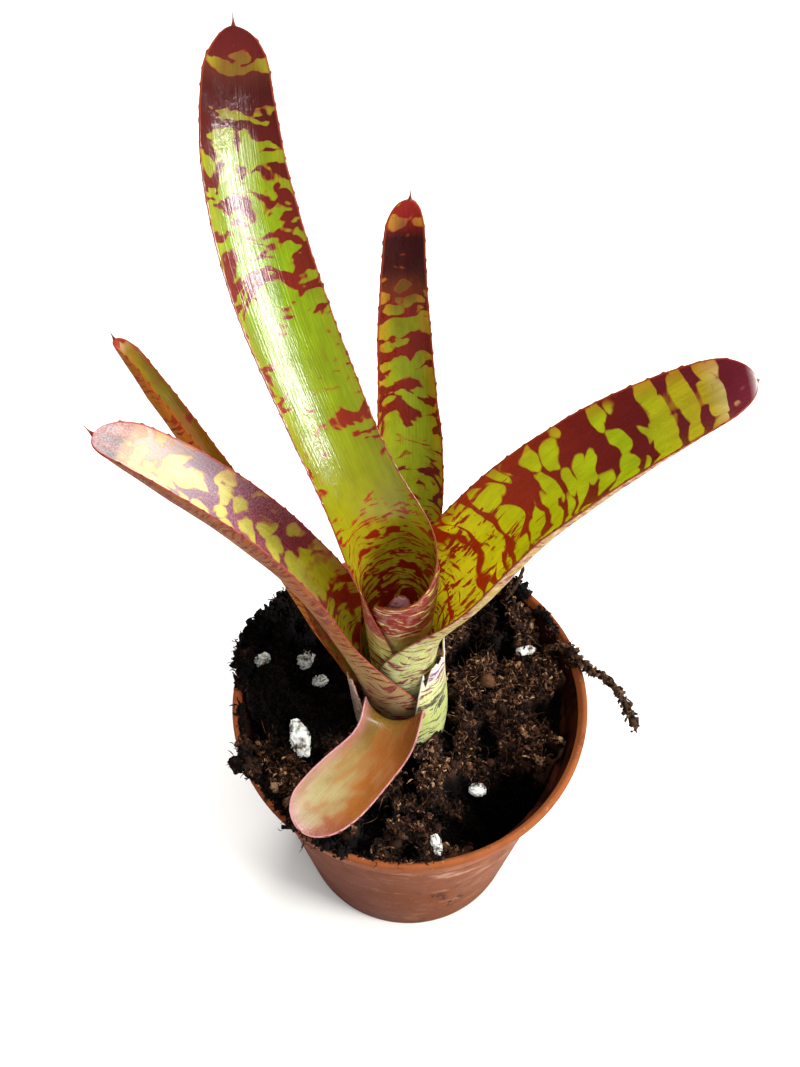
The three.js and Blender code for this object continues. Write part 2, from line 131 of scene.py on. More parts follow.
# A station is (out, side, up, clockwise half width, counter-clockwise half width, radius).
LEAVES = {
    "leaf_heart": {
        "azimuth": 300, "round": 5, "blade": 0.6, "coil": 0.12, "spine": 1.2,
        "stations": [(2.6, 0, 100.3, 7, 7, 2.6), (2.7, 0, 109, 7, 7, 2.7),
                     (2.9, -0.5, 118, 6.5, 6, 2.9), (2.9, -1.2, 127, 3.9, 3.4, 3),
                     (2.4, -2.2, 133.4, 1.6, 1.3, 3)],
    },
    "leaf_tall": {
        "azimuth": 118, "round": 9, "blade": 0.6, "coil": 0.175, "spine": 3.2,
        "stations": [sheath(5.2, 70, 200, 150), sheath(5.2, 90, 240, 160),
                     sheath(5.2, 108, 262, 160), sheath(5.2, 121, 262, 135),
                     sheath(5.2, 131, 262, 104), sheath(5.2, 137, 235, 80),
                     (8.5, 1.5, 142, 18, 12, 9.5), (11, 4, 153, 9, 8, 11),
                     (28.5, 7.5, 176, 10.5, 9.5, 12), (46, 8.5, 197.5, 9.5, 10.5, 12),
                     (60, 4, 215, 7.5, 9, 12), (72, -1.5, 224, 5.5, 3.5, 12)],
    },
    "leaf_right": {
        "azimuth": 12, "round": 7, "blade": 0.4, "spine": 0.7,
        "stations": [sheath(6.7, 70, 150, 150), sheath(6.7, 92, 150, 150),
                     sheath(6.7, 108, 140, 140), (10, 0, 120, 18, 16, 10),
                     (18, -3, 132.5, 14, 20, 11), (29, -1, 152, 15.8, 15.5, 12),
                     (45, -1, 168, 15.2, 13.5, 12), (60, -0.5, 180.5, 11.6, 8.5, 11.5),
                     (67, -2.5, 186, 6.2, 5.5, 11)],
    },
    "leaf_back": {
        "azimuth": 88, "round": 7, "blade": 0.5, "spine": 2.2,
        "stations": [sheath(7.7, 70, 120, 130), sheath(7.7, 86, 90, 120),
                     sheath(7.7, 97, 60, 95), (10.2, 0, 112, 8, 11, 11),
                     (16, -0.5, 132, 8.5, 11.5, 10), (20.5, -2, 153, 8.5, 9, 8),
                     (27.5, 0, 180, 4.5, 7.5, 7), (34.5, 0, 208, 2.5, 4.5, 6)],
    },
    "leaf_left": {
        "azimuth": 170, "round": 9, "blade": 0.5, "spine": 3, "roll": 10,
        "hook": 0.8,
        "stations": [sheath(8.7, 70, 120, 140), sheath(8.7, 83, 110, 140),
                     sheath(8.7, 93, 60, 135), (12.3, 0, 104, 10, 18, 10.5),
                     (20, -1, 122, 11, 13, 10), (33, 0, 142.5, 11, 12.6, 8.5),
                     (48, 0.5, 157, 10.5, 11.8, 8.3), (62.5, -0.5, 168.5, 6.2, 8, 8.3)],
    },
    "leaf_far_left": {
        "azimuth": 151, "round": 7, "blade": 0.45, "spine": 2.4, "roll": 20,
        "hook": 0.6,
        "stations": [sheath(9.7, 70, 120, 120), sheath(9.7, 78, 100, 90),
                     sheath(9.7, 85, 60, 50), (14.5, 0, 93, 9, 8, 8),
                     (25, 2.6, 110, 6.5, 8, 5.2), (35, 3.4, 129, 5.2, 7.9, 4.3),
                     (48, 2.9, 147.5, 5.2, 7.9, 4.3), (59, 1.3, 161, 4.5, 6.8, 3.9),
                     (68.5, 0, 173.5, 3, 4.4, 3.4)],
    },
    "leaf_front": {
        "azimuth": 262, "round": 7, "blade": 0.4, "spine": 1,
        "stations": [sheath(10.7, 70, 90, 90), sheath(10.7, 80, 75, 70),
                     sheath(10.7, 88, 48, 45), (12.3, 0.3, 93, 9.4, 8, 8),
                     (14.5, 1, 96.5, 9, 8, 8), (20, -1.5, 92, 7.5, 7.5, 10),
                     (28, -8, 88, 9, 8.5, 12), (35, -13, 86.5, 8.5, 9, 13),
                     (41, -17, 87.5, 7, 7, 13)],
    },
    "sheath_right": {
        "azimuth": 332, "round": 0, "blade": 1, "torn": 10,
        "stations": [sheath(12.2, 70, 48, 60), sheath(11.9, 82, 46, 54),
                     sheath(9.6, 95, 40, 46), sheath(8.4, 110, 30, 38)],
    },
    "sheath_left": {
        "azimuth": 210, "round": 0, "blade": 1, "torn": 14,
        "stations": [sheath(11.7, 70, 42, 24), sheath(11.7, 80, 30, 20),
                     sheath(11.7, 92, 18, 14), sheath(11.7, 104, 11, 8)],
    },
}

# The camera stands in front, well above the pot, and looks down into the rosette.
CAMERA = {"place": (0, -133.1, 333.1), "down": 53.56, "turn": -1.09, "lens": 37.1}

# Lights: name, place and aim in metres, width, height, power, colour. The window stands tall on
# the right, the back window shines through the leaves and the overhead light reaches into the
# cup. Only the two glints, marked True, are mirrored in the leaves.
LIGHTS = [
    ("window", (0.8, -0.32, 0.68), (0, 0, 0.18), 0.34, 0.66, 13, (1.0, 0.98, 0.95)),
    ("glint", (0.8, -0.18, 0.53), (0, 0, 0.18), 0.2, 0.4, 24, (1.0, 1.0, 1.0), True),
    ("high_glint", (0.8, -0.56, 0.98), (0, 0, 0.2), 0.15, 0.56, 12, (1.0, 1.0, 1.0), True),
    ("back_window", (0.3, 0.8, 0.75), (0, 0, 0.12), 0.5, 0.5, 9, (1.0, 0.99, 0.97)),
    ("overhead", (0.05, -0.1, 1.0), (0, 0, 0.12), 0.5, 0.5, 6, (1.0, 1.0, 0.98)),
]


# ---- meshes ----

def add_object(name, data):
    """A new object in the scene."""
    made = bpy.data.objects.new(name, data)
    bpy.context.scene.collection.objects.link(made)
    return made


def unit(vectors):
    """The vectors, each brought to length 1."""
    return vectors / np.linalg.norm(vectors, axis=-1, keepdims=True)


def signed_volume(points, faces):
    """Six times the volume held by the faces, from each one's fan of triangles."""
    total = 0.0
    for block in faces:
        a = points[block[:, 0]]
        for k in range(1, block.shape[1] - 1):
            b, c = points[block[:, k]], points[block[:, k + 1]]
            total += np.einsum("ij,ij->i", a, np.cross(b, c)).sum()
    return total


def make_piece(name, points, faces, values, material, replaces=None, body="root"):
    """A closed mesh from points in mm and blocks of equal-sided faces, turned outwards, with
    the values at its points that its material reads."""
    if signed_volume(points, faces) < 0:
        faces = [block[:, ::-1] for block in faces]
    corners = np.concatenate([block.ravel() for block in faces]).astype(np.int32)
    sizes = np.concatenate([np.full(len(block), block.shape[1]) for block in faces])
    mesh = bpy.data.meshes.new(name)
    mesh.vertices.add(len(points))
    mesh.vertices.foreach_set("co", (points * MM).astype(np.float32).ravel())
    mesh.loops.add(len(corners))
    mesh.loops.foreach_set("vertex_index", corners)
    mesh.polygons.add(len(sizes))
    mesh.polygons.foreach_set("loop_start", (np.cumsum(sizes) - sizes).astype(np.int32))
    for key, data in values.items():
        vector = data.ndim == 2
        layer = mesh.attributes.new(key, "FLOAT_VECTOR" if vector else "FLOAT", "POINT")
        layer.data.foreach_set("vector" if vector else "value", data.astype(np.float32).ravel())
    mesh.update(calc_edges=True)
    mesh.shade_smooth()
    mesh.materials.append(material)
    piece = add_object(name, mesh)
    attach(piece, body)
    if replaces:
        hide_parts(*replaces)
    return piece


def grid_faces(rows, cols):
    """Quads between neighbouring rows, each a closed ring of columns."""
    i = np.arange(rows - 1)[:, None] * cols
    j = np.arange(cols)[None, :]
    a, b = i + j, i + (j + 1) % cols
    return np.stack([a, b, b + cols, a + cols], -1).reshape(-1, 4)


def pole_faces(ring, pole, flip=False):
    """Triangles from a closed ring of points to one pole."""
    after = np.roll(ring, -1)
    order = (after, ring) if flip else (ring, after)
    return np.stack([*order, np.full(len(ring), pole)], -1)


def rolled(points):
    """A closed skin over rows of rings, with a pole at the mean of the first and last ring."""
    rows, cols = points.shape[:2]
    poles = np.stack([points[0].mean(0), points[-1].mean(0)])
    n = rows * cols
    faces = [grid_faces(rows, cols), pole_faces(np.arange(cols), n, True),
             pole_faces(np.arange(n - cols, n), n + 1)]
    return np.concatenate([points.reshape(-1, 3), poles]), faces


def lattice_noise(x, y, seed):
    """Smooth noise in 0..1: random values on a unit grid, blended by smoothstep weights."""
    table = np.random.default_rng(seed).random((64, 64))
    i, j = np.floor(x).astype(int), np.floor(y).astype(int)
    fx, fy = x - i, y - j
    fx, fy = fx * fx * (3 - 2 * fx), fy * fy * (3 - 2 * fy)
    at = lambda a, b: table[(i + a) % 64, (j + b) % 64]
    low = at(0, 0) * (1 - fx) + at(1, 0) * fx
    high = at(0, 1) * (1 - fx) + at(1, 1) * fx
    return low * (1 - fy) + high * fy


def rough_noise(x, y, seed, octaves=4):
    """Sum of lattice noise, each octave twice as fine and half as strong, scaled to 0..1."""
    parts = [lattice_noise(x * 2 ** k + 7 * k, y * 2 ** k - 3 * k, seed + k) / 2 ** k
             for k in range(octaves)]
    return sum(parts) / (2 - 2 ** (1 - octaves))


def smooth_step(low, high, x):
    """0 at low and 1 at high, eased at both; low may be the larger."""
    t = np.clip((x - low) / (high - low), 0, 1)
    return t * t * (3 - 2 * t)


def tube_rings(line, thick, sides, up=(0, 0, 1.0)):
    """Rings of points square to a line, or to many lines at once, at each of its rows: the line
    plus the radius there times the cosine and sine of the turn along two directions across."""
    along = unit(np.gradient(line, axis=-2))
    flat_side = unit(np.cross(along, up))
    over = np.cross(flat_side, along)
    turn = np.arange(sides)[:, None] * 2 * np.pi / sides
    return line[..., None, :] + thick[..., None] * (
        np.cos(turn) * flat_side[..., None, :] + np.sin(turn) * over[..., None, :])


# ---- leaves ----

def spline_at(stations, t):
    """A uniform cubic B-spline through the stations, with its ends on the outer two."""
    s = np.asarray(stations, float)
    s = np.vstack([2 * s[0] - s[1], s, 2 * s[-1] - s[-2]])
    spans = len(s) - 3
    x = np.clip(t * spans, 0, spans - 1e-9)
    i = x.astype(int)
    f = (x - i)[:, None]
    return ((1 - f) ** 3 * s[i] + (3 * f ** 3 - 6 * f ** 2 + 4) * s[i + 1]
            + (-3 * f ** 3 + 3 * f ** 2 + 3 * f + 1) * s[i + 2] + f ** 3 * s[i + 3]) / 6


def blade_share(leaf, t):
    """0 on the sheath and 1 on the blade, eased over the start of the blade."""
    return smooth_step(leaf["blade"], leaf["blade"] + 0.15, t)


def leaf_axes(leaf, t):
    """The midrib's points, its unit directions along, to the side and inwards, and the
    stations' other columns. The side is level, and past the sheath the section turns about
    the midrib by the leaf's roll."""
    a = np.radians(leaf["azimuth"])
    outward = np.array([np.cos(a), np.sin(a), 0])
    level = np.array([-np.sin(a), np.cos(a), 0])
    columns = spline_at(leaf["stations"], t)
    centre = (np.array([PLANT["x"], PLANT["y"], 0]) + columns[:, :1] * outward
              + columns[:, 1:2] * level + columns[:, 2:3] * np.array([0, 0, 1.0]))
    along = unit(np.gradient(centre, axis=0))
    side = unit(level - (along @ level)[:, None] * along)
    inward = np.cross(along, side)
    turn = np.radians(leaf.get("roll", 0)) * blade_share(leaf, t)
    c, s = np.cos(turn)[:, None], np.sin(turn)[:, None]
    return centre, along, c * side + s * inward, c * inward - s * side, columns


def leaf_rows(rounding, blade_start, total):
    """Distances along the leaf where its rows lie: fine along the blade and round the tip."""
    foot = np.arange(0, blade_start, LEAF["foot_row"])
    if not rounding:
        return np.concatenate([foot, [total]])
    tip = total - rounding
    turn = np.linspace(0, np.pi / 2, 26)[1:-1]
    return np.concatenate([foot, np.arange(blade_start, tip, LEAF["blade_row"]),
                           tip + rounding * np.sin(turn) ** 1.15])


def section_loop(cells):
    """One closed loop round a leaf's section: share across, face (+1 upper, -1 lower) and
    how far past the margin, as a share of the edge's thickness."""
    u = np.linspace(0, 1, cells + 1)
    u = 0.55 * u + 0.45 * (0.5 - 0.5 * np.cos(np.pi * u))
    share = np.concatenate([u, [1], u[::-1], [0]])
    face = np.concatenate([np.ones(cells + 1), [0], -np.ones(cells + 1), [0]])
    return share, face, np.where(face == 0, 0.45, 0)


def tooth_heights(s, blade_start, total, seed):
    """Height of the marginal spines at distances s: one narrow peak in each pitch, of random
    height, fading out over the sheath and at the tip."""
    pitch = LEAF["tooth_pitch"]
    draw = np.random.default_rng(seed).uniform(0.45, 1.25, 200)
    shift = np.random.default_rng(seed + 1).uniform(-0.2, 0.2, 200)
    index = np.floor(s / pitch).astype(int)
    phase = s / pitch - index - 0.5 - shift[index]
    peak = np.clip(1 - np.where(phase < 0, -phase / 0.2, phase / 0.09), 0, 1)
    reach = smooth_step(0, 8, s - blade_start) * smooth_step(0.5, 3, total - s)
    return LEAF["tooth_height"] * peak * draw[index] * reach


def leaf_surface(leaf, seed):
    """Rings round the leaf's section at each row, what its material reads there, and the tip
    with its direction. The section is an arc, or a spiral whose radius grows with the angle,
    offset by half the thickness to each face, which is thickest along the midrib. The blade
    swells and dips a little along its length."""
    shares = np.linspace(0, 1, 1500)
    fine = leaf_axes(leaf, shares)
    steps = np.linalg.norm(np.diff(fine[0], axis=0), axis=1)
    lengths = np.concatenate([[0], np.cumsum(steps)])
    total = lengths[-1]
    blade_start = np.interp(leaf["blade"], shares, lengths)
    rows = leaf_rows(leaf["round"], blade_start, total)[:, None]
    share, face, past = section_loop(LEAF["cells"])
    torn = leaf.get("torn", 0)
    keep = np.ones_like(share)
    if torn:
        keep = 1 - torn * rough_noise(share * 9, share * 0 + seed, seed) ** 1.5 / total
    s = rows * keep
    t = np.interp(s, lengths, shares)
    centre, along, side, inward, columns = (
        np.stack([np.interp(t, shares, column) for column in field.T], -1) for field in fine)

    taper = np.ones_like(s)
    if leaf["round"]:
        nearing = np.clip(1 - (total - s) / leaf["round"], 0, 1)
        taper = np.clip(1 - nearing ** 2.3, 0.003, 1) ** 0.47
    blade = blade_share(leaf, t)
    waver = 0.35 * (rough_noise(s / 13, share * 0 + 2, seed) - 0.5) * blade * taper
    low, high = -columns[..., 3] * taper - waver, columns[..., 4] * taper + waver
    radius = columns[..., 5]
    spines = sum(tooth_heights(s[:, :1], blade_start, total, seed + shift) * (share == margin)
                 for margin, shift in enumerate((3, 9)))
    thick = LEAF["edge"] + (LEAF["middle"] - LEAF["edge"]) * (1 - (2 * share - 1) ** 2) * blade
    extra = spines + past * thick
    arc = low + (high - low) * share + np.where(share < 0.5, -extra, extra)
    angle = arc / radius
    swell = 0.5 * (rough_noise(s / 9 + 3, share * 2.2, seed + 5, 3) - 0.5) * blade * taper
    r = radius + leaf.get("coil", 0) * angle - face * thick / 2 + swell
    points = (centre + (r * np.sin(angle))[..., None] * side
              + (radius - r * np.cos(angle))[..., None] * inward
              + (0.5 * spines)[..., None] * along)
    edge = np.minimum(share, 1 - share) * (high - low) - extra
    if torn:
        edge = np.minimum(edge, total - rows)
    values = {"leaf_place": np.stack([arc, s, edge], -1),
              "leaf_face": np.broadcast_to(face, arc.shape), "leaf_share": s / total}
    return points, values, centre[-1, 0], along[-1, 0]


def leaf_piece(name, material, seed):
    """A leaf as one closed skin: its surface, a flat foot, and a spine at its tip that
    narrows from the last ring to a point, or a torn edge closed face to face."""
    leaf = LEAVES[name]
    points, values, tip, tip_along = leaf_surface(leaf, seed)
    spine = leaf.get("spine", 0)
    if spine:
        steps, widths = np.array(SPINE_RINGS).T[..., None, None]
        reach = spine * tip_along
        rise = spine * leaf.get("hook", 0.25) * np.array([0, 0, 1])
        width = (1 - steps) ** 0.8 * widths
        rings = tip + reach * steps + rise * steps ** 2 + (points[-1] - tip) * width
        points = np.concatenate([points, rings])
        values = {key: np.concatenate([data, np.repeat(data[-1:], len(steps), 0)])
                  for key, data in values.items()}
        values["leaf_place"][-len(steps):, :, 2] = -1
    rows, cols = points.shape[:2]
    n = rows * cols
    half = cols // 2 - 1
    upper = np.arange(half)
    lower = cols - 2 - upper

    def lid(first):
        """Quads that close a ring from its upper row of points to its lower row."""
        return first + np.stack([upper[:-1], upper[1:], lower[1:], lower[:-1]], -1)

    def ends(first):
        """The two triangles at the margins of such a lid."""
        a, b = first + cols - 1, first + half
        return np.array([[first, first + cols - 2, a], [first + half - 1, b, b + 1]])

    faces = [grid_faces(rows, cols), lid(0)[:, ::-1], ends(0)]
    points = points.reshape(n, 3)
    values = {key: data.reshape(n, *data.shape[2:]) for key, data in values.items()}
    if spine:
        points = np.concatenate([points, [tip + reach + rise]])
        values = {key: np.concatenate([data, data[-1:]]) for key, data in values.items()}
        faces.append(pole_faces(np.arange(n - cols, n), n))
    else:
        faces += [lid(n - cols), ends(n - cols)[:, ::-1]]
    make_piece(name + "_fine", points, faces, values, material, [name])


# ---- pot ----

def pot_outline():
    """The pot's outline as radius, height and rounding, from the middle of its underside out,
    up and back in to the middle of its floor."""
    lip = POT["height"] - POT["lip_height"]
    wall = POT["wall"]
    return [
        (0.5, 0.5, 0), (POT["base"] - 4.5, 0.5, 0.3), (POT["base"] - 4, 0, 0.3),
        (POT["base"], 0, 0.9), (POT["wall_top_r"], POT["collar_low"], 0.5),
        (POT["collar_low_r"], POT["collar_low"] + 0.8, 0.5), (POT["collar_high_r"], lip, 0.5),
        (POT["rim"], lip + 0.2, 0.5), (POT["rim"], POT["height"], 0.7),
        (POT["lip_inner"], POT["height"], 0.6), (POT["collar_high_r"] - wall, lip, 0.5),
        (POT["collar_low_r"] - wall, POT["collar_low"] + 1.6, 0.5),
        (POT["wall_top_r"] - wall, POT["collar_low"] + 0.4, 0.5),
        (POT["base"] - wall + 0.2, POT["floor"], 0.8), (0.5, POT["floor"], 0),
    ]


def rounded(outline):
    """The outline's points, with a short arc in place of each corner that has a rounding."""
    profile = []
    for k, (r, z, rounding) in enumerate(outline):
        corner = np.array([r, z], float)
        if rounding == 0:
            profile.append(corner)
            continue
        before, after = (np.array(outline[k + step][:2]) - corner for step in (-1, 1))
        a, b = (corner + unit(way) * min(rounding, np.linalg.norm(way) / 2.1)
                for way in (before, after))
        t = np.linspace(0, 1, 5)[:, None]
        profile.extend((1 - t) ** 2 * a + 2 * t * (1 - t) * corner + t ** 2 * b)
    return np.array(profile)


def cut_holes(pot):
    """Cuts the drainage holes through the pot's floor."""
    bm = bmesh.new()
    for k in range(POT["holes"]):
        a = 2 * np.pi * (k + 0.5) / POT["holes"]
        made = bmesh.ops.create_cone(
            bm, cap_ends=True, segments=40, radius1=POT["hole_radius"] * MM,
            radius2=POT["hole_radius"] * MM, depth=0.01)
        bmesh.ops.translate(bm, verts=made["verts"], vec=(
            POT["hole_ring"] * np.cos(a) * MM, POT["hole_ring"] * np.sin(a) * MM, 0))
    mesh = bpy.data.meshes.new("holes")
    bm.to_mesh(mesh)
    bm.free()
    cutter = add_object("holes", mesh)
    cut = pot.modifiers.new("holes", "BOOLEAN")
    cut.operation, cut.object, cut.solver = "DIFFERENCE", cutter, "EXACT"
    bpy.context.view_layer.update()
    shaped = bpy.data.meshes.new_from_object(
        pot.evaluated_get(bpy.context.evaluated_depsgraph_get()))
    pot.modifiers.clear()
    pot.data = shaped
    bpy.data.objects.remove(cutter)


def pot_piece(material):
    """The pot's outline turned about its axis, a little out of round by two sines of the turn,
    with its holes, and 1 as the value of outer on the outside of its wall and its lip."""
    turn = np.linspace(0, 2 * np.pi, 240, endpoint=False)
    wobble = 1 + 0.0012 * np.sin(2 * turn + 1) + 0.0006 * np.sin(5 * turn)
    r, z = rounded(pot_outline()).T[..., None]
    points = np.stack([r * np.cos(turn) * wobble, r * np.sin(turn) * wobble, z + 0 * turn], -1)
    flat, faces = rolled(points)
    pot = make_piece("pot_fine", flat, faces, {}, material, ["pot"])
    cut_holes(pot)
    where = np.empty(3 * len(pot.data.vertices))
    pot.data.vertices.foreach_get("co", where)
    x, y, z = where.reshape(-1, 3).T / MM
    lip = POT["height"] - POT["lip_height"]
    skin = np.interp(z, [0, POT["collar_low"], POT["collar_low"] + 0.5, lip],
                     [POT["base"], POT["wall_top_r"], POT["collar_low_r"], POT["collar_high_r"]])
    outer = (np.hypot(x, y) > skin - 0.6) | (z > lip + 0.4)
    pot.data.attributes.new("outer", "FLOAT", "POINT").data.foreach_set(
        "value", outer.astype(np.float32))


# ---- soil ----

def soil_base(x, y):
    """The soil's level with its mounds: a sum of Gaussian bumps."""
    z = SOIL["level"] + 0.5 * (np.sin(0.55 * x + 0.3 * y) + np.sin(0.47 * y - 0.35 * x + 1))
    for azimuth, distance, height, spread in MOUNDS:
        dx = x - distance * np.cos(np.radians(azimuth))
        dy = y - distance * np.sin(np.radians(azimuth))
        z = z + height * np.exp(-(dx * dx + dy * dy) / spread ** 2)
    return z


def soil_relief(x, y):
    """Height of the soil's lumps of two sizes and its pits over its level."""
    lumps = 4.2 * (rough_noise(x / 6 + 30, y / 6 + 30, 21) - 0.5)
    crumbs = 3 * (rough_noise(x / 2.2 + 30, y / 2.2 + 30, 22, 3) - 0.5)
    pits = -6 * smooth_step(0.54, 0.66, rough_noise(x / 5 + 9, y / 5 + 30, 23, 2))
    return lumps + crumbs + pits


def from_plant(x, y):
    """Distance from the plant's own axis."""
    return np.hypot(x - PLANT["x"], y - PLANT["y"])


def soil_top(x, y):
    """The soil's rough top, sunk to the leaf bases' foot inside the plant's hole."""
    return np.where(from_plant(x, y) < SOIL["sunk_radius"], SOIL["sunk"],
                    soil_base(x, y) + soil_relief(x, y))


def painted_soil_light(x, y):
    """Painted light and shade on the soil: 0 in its pits and in the patches of painted shade,
    1 on the tops of its lumps.
    """
    lightness = 0.06 + 0.94 * smooth_step(-2.4, 1.0, soil_relief(x, y))
    for middle_x, middle_y, wide, deep, depth in SHADE_PATCHES:
        away = np.hypot((x - middle_x) / wide, (y - middle_y) / deep)
        ragged = away + 0.35 * (rough_noise(x / 5 + 20, y / 5 + 20, 27, 2) - 0.5)
        lightness = lightness * (1 - depth * smooth_step(1.1, 0.8, ragged))
    return lightness


def soil_edge(z):
    """The soil's outer radius at a height, just inside the pot's wall and its collar."""
    low = POT["collar_low"]
    wall = np.interp(z, [0, low], [POT["base"], POT["wall_top_r"]]) - POT["wall"]
    return wall - 0.35 + 1.4 * smooth_step(low + 1, low + 4, z) + np.clip(
        (z - low - 4) * 0.13, 0, 1.4)


def soil_body(material):
    """Rings from the bottom's middle, up the wall and in over the rough top."""
    turn = np.linspace(0, 2 * np.pi, 320, endpoint=False)
    c, s = np.cos(turn), np.sin(turn)
    ring = lambda r, z: np.stack([r * c, r * s, z + 0 * c], -1)
    floor = SOIL["floor"]
    rim_z = soil_top(SOIL["rim"] * c, SOIL["rim"] * s)
    rim_r = soil_edge(rim_z)
    rings = [ring(soil_edge(floor) * share, floor) for share in (0.05, 0.5, 1)]
    for share in (0.3, 0.6, 0.85, 0.94, 0.98):
        z = floor + (rim_z - floor) * share
        rings.append(ring(np.minimum(soil_edge(z), rim_r), z))
    for share in np.linspace(1, 0.01, 120):
        r = rim_r * share
        rings.append(ring(r, soil_top(r * c, r * s)))
    flat, faces = rolled(np.array(rings))
    # The soil's tone holds its painted shade: darker in its pits and in the patches of painted
    # shade.
    tone = 0.5 * painted_soil_light(flat[:, 0], flat[:, 1])
    make_piece("soil_fine", flat, faces, {"tone": tone}, material, ["soil"])


def ball(level):
    """Points and triangles of an icosphere of radius 1."""
    bm = bmesh.new()
    bmesh.ops.create_icosphere(bm, subdivisions=level, radius=1)
    points = np.array([v.co[:] for v in bm.verts])
    faces = np.array([[v.index for v in f.verts] for f in bm.faces])
    bm.free()
    return points, faces


def random_turns(rng, n):
    """n random rotation matrices, from unit quaternions."""
    w, x, y, z = unit(rng.normal(size=(n, 4))).T
    return np.stack([
        1 - 2 * (y * y + z * z), 2 * (x * y - z * w), 2 * (x * z + y * w),
        2 * (x * y + z * w), 1 - 2 * (x * x + z * z), 2 * (y * z - x * w),
        2 * (x * z - y * w), 2 * (y * z + x * w), 1 - 2 * (x * x + y * y),
    ], -1).reshape(n, 3, 3)


def loose_tone(drawn, places, slot, corners):
    """The tone of loose bits, repeated for their points: as drawn, times the painted light and
    shade of the soil at their places, or times that of a root."""
    lightness = ROOT["lightness"] if slot == "root" else painted_soil_light(places[:, 0], places[:, 1])
    return {"tone": np.repeat(drawn * lightness, corners)}


def crumb_cloud(name, centres, sizes, seed, material, tone=(0, 1), slot="soil"):
    """One mesh of many small lumps: an icosphere for each centre, its points pushed in and
    out at random, squashed along random axes and turned."""
    rng = np.random.default_rng(seed)
    shape, tris = ball(1)
    n, v = len(centres), len(shape)
    jag = 1 + rng.uniform(-0.5, 0.35, (n, v, 1))
    squash = rng.uniform(0.35, 1.5, (n, 1, 3))
    local = np.einsum("nij,nvj->nvi", random_turns(rng, n), shape * jag * squash)
    points = centres[:, None] + local * sizes[:, None, None]
    faces = (tris[None] + (np.arange(n) * v)[:, None, None]).reshape(-1, 3)
    shade = loose_tone(rng.uniform(*tone, n) ** 1.3, centres, slot, v)
    make_piece(name, points.reshape(-1, 3), [faces], shade, material)


def thread_cloud(name, starts, kind, seed, material, slot="soil"):
    """One mesh of many fibres: each a narrow tube along a curve that bends steadily in plan
    and arches a little, thinning to its ends."""
    length, radius, rise, curl, rows, sides, tone = THREADS[kind]
    rng = np.random.default_rng(seed)
    n = len(starts)
    t = np.linspace(0, 1, rows)
    heading = rng.uniform(0, 2 * np.pi, (n, 1)) + rng.normal(0, curl, (n, 1)) * t
    reach = rng.uniform(*length, (n, 1))
    arch = rng.uniform(0, rise, (n, 1)) * reach * np.sin(np.pi * t) * 0.4
    tilt = rng.normal(0, rise * 0.5, (n, 1)) * reach * t * 0.5
    step = reach / (rows - 1)
    x = starts[:, :1] + np.cumsum(np.cos(heading) * step, 1)
    y = starts[:, 1:2] + np.cumsum(np.sin(heading) * step, 1)
    line = np.stack([x, y, starts[:, 2:3] + arch + np.abs(tilt)], -1)
    thick = rng.uniform(*radius, (n, 1)) * (1 - 0.75 * np.abs(2 * t - 1) ** 3)
    thick = thick * rng.uniform(0.7, 1.3, (n, rows))
    rings = tube_rings(line, thick[..., None], sides)
    offsets = (np.arange(n) * rows * sides)[:, None, None]
    wall = (grid_faces(rows, sides)[None] + offsets).reshape(-1, 4)
    low = np.arange(sides)
    caps = np.stack([low[::-1], low + (rows - 1) * sides])[None] + offsets
    shade = loose_tone(rng.uniform(*tone, n), starts, slot, rows * sides)
    make_piece(name, rings.reshape(-1, 3), [wall, caps.reshape(-1, sides)], shade, material)


def scatter(rng, n, inset):
    """Places on the soil, outside the plant's tube and inside the pot's wall, even over its
    area."""
    r = SOIL["reach"] * np.sqrt(rng.random(2 * n))
    a = 2 * np.pi * rng.random(2 * n)
    x, y = r * np.cos(a), r * np.sin(a)
    clear = from_plant(x, y) > PLANT["hole"] + 0.6
    clear &= r < soil_edge(soil_top(x, y)) - inset
    x, y = x[clear][:n], y[clear][:n]
    return np.stack([x, y, soil_top(x, y)], -1)


def spilt(rng, low, high, distance, spread, bottom, top, count, size):
    """Centres and sizes of one spill: points round an arc, piled highest at its middle by a
    sine of the way along it, and lower away from its own radius."""
    turn = np.radians(rng.uniform(low, high, count))
    ease = np.sin(np.pi * (np.degrees(turn) - low) / (high - low)) ** 0.6
    r = distance + rng.normal(0, 0.55, count) * spread
    z = bottom + (top - bottom) * rng.random(count) ** 1.6 * ease
    z = z - 0.25 * np.abs(r - distance) * ease
    centres = np.stack([r * np.cos(turn), r * np.sin(turn), z], -1)
    return centres, rng.lognormal(np.log(size), 0.4, count)


def loose_soil(material):
    """Crumbs and curled shreds over the whole of the soil's top, lumps under them, fibres,
    and what has been spilt on the rim."""
    rng = np.random.default_rng(5)
    for name, count, middle, lift, seed in CRUMBS:
        places = scatter(rng, count, 0.8)
        size = rng.lognormal(middle, 0.38, len(places))
        places[:, 2] += lift * size
        crumb_cloud(name, places, size, seed, material)
    for name, seed in (("soil_shreds_1", 12), ("soil_shreds_2", 13)):
        places = scatter(rng, 4700, 1.2)
        places[:, 2] += rng.uniform(-0.1, 0.7, len(places))
        thread_cloud(name, places, "shred", seed, material)
    places = scatter(rng, 750, 3)
    places[:, 2] += 0.5
    thread_cloud("soil_fibres", places, "fibre", 8, material)
    centres, sizes = (np.concatenate(parts) for parts in zip(*[
        spilt(rng, *spill) for spill in SPILLS]))
    crumb_cloud("soil_spill", centres, sizes, 9, material, tone=(0.05, 0.9))
    thread_cloud("spill_shreds", centres[::3], "spilt", 10, material)


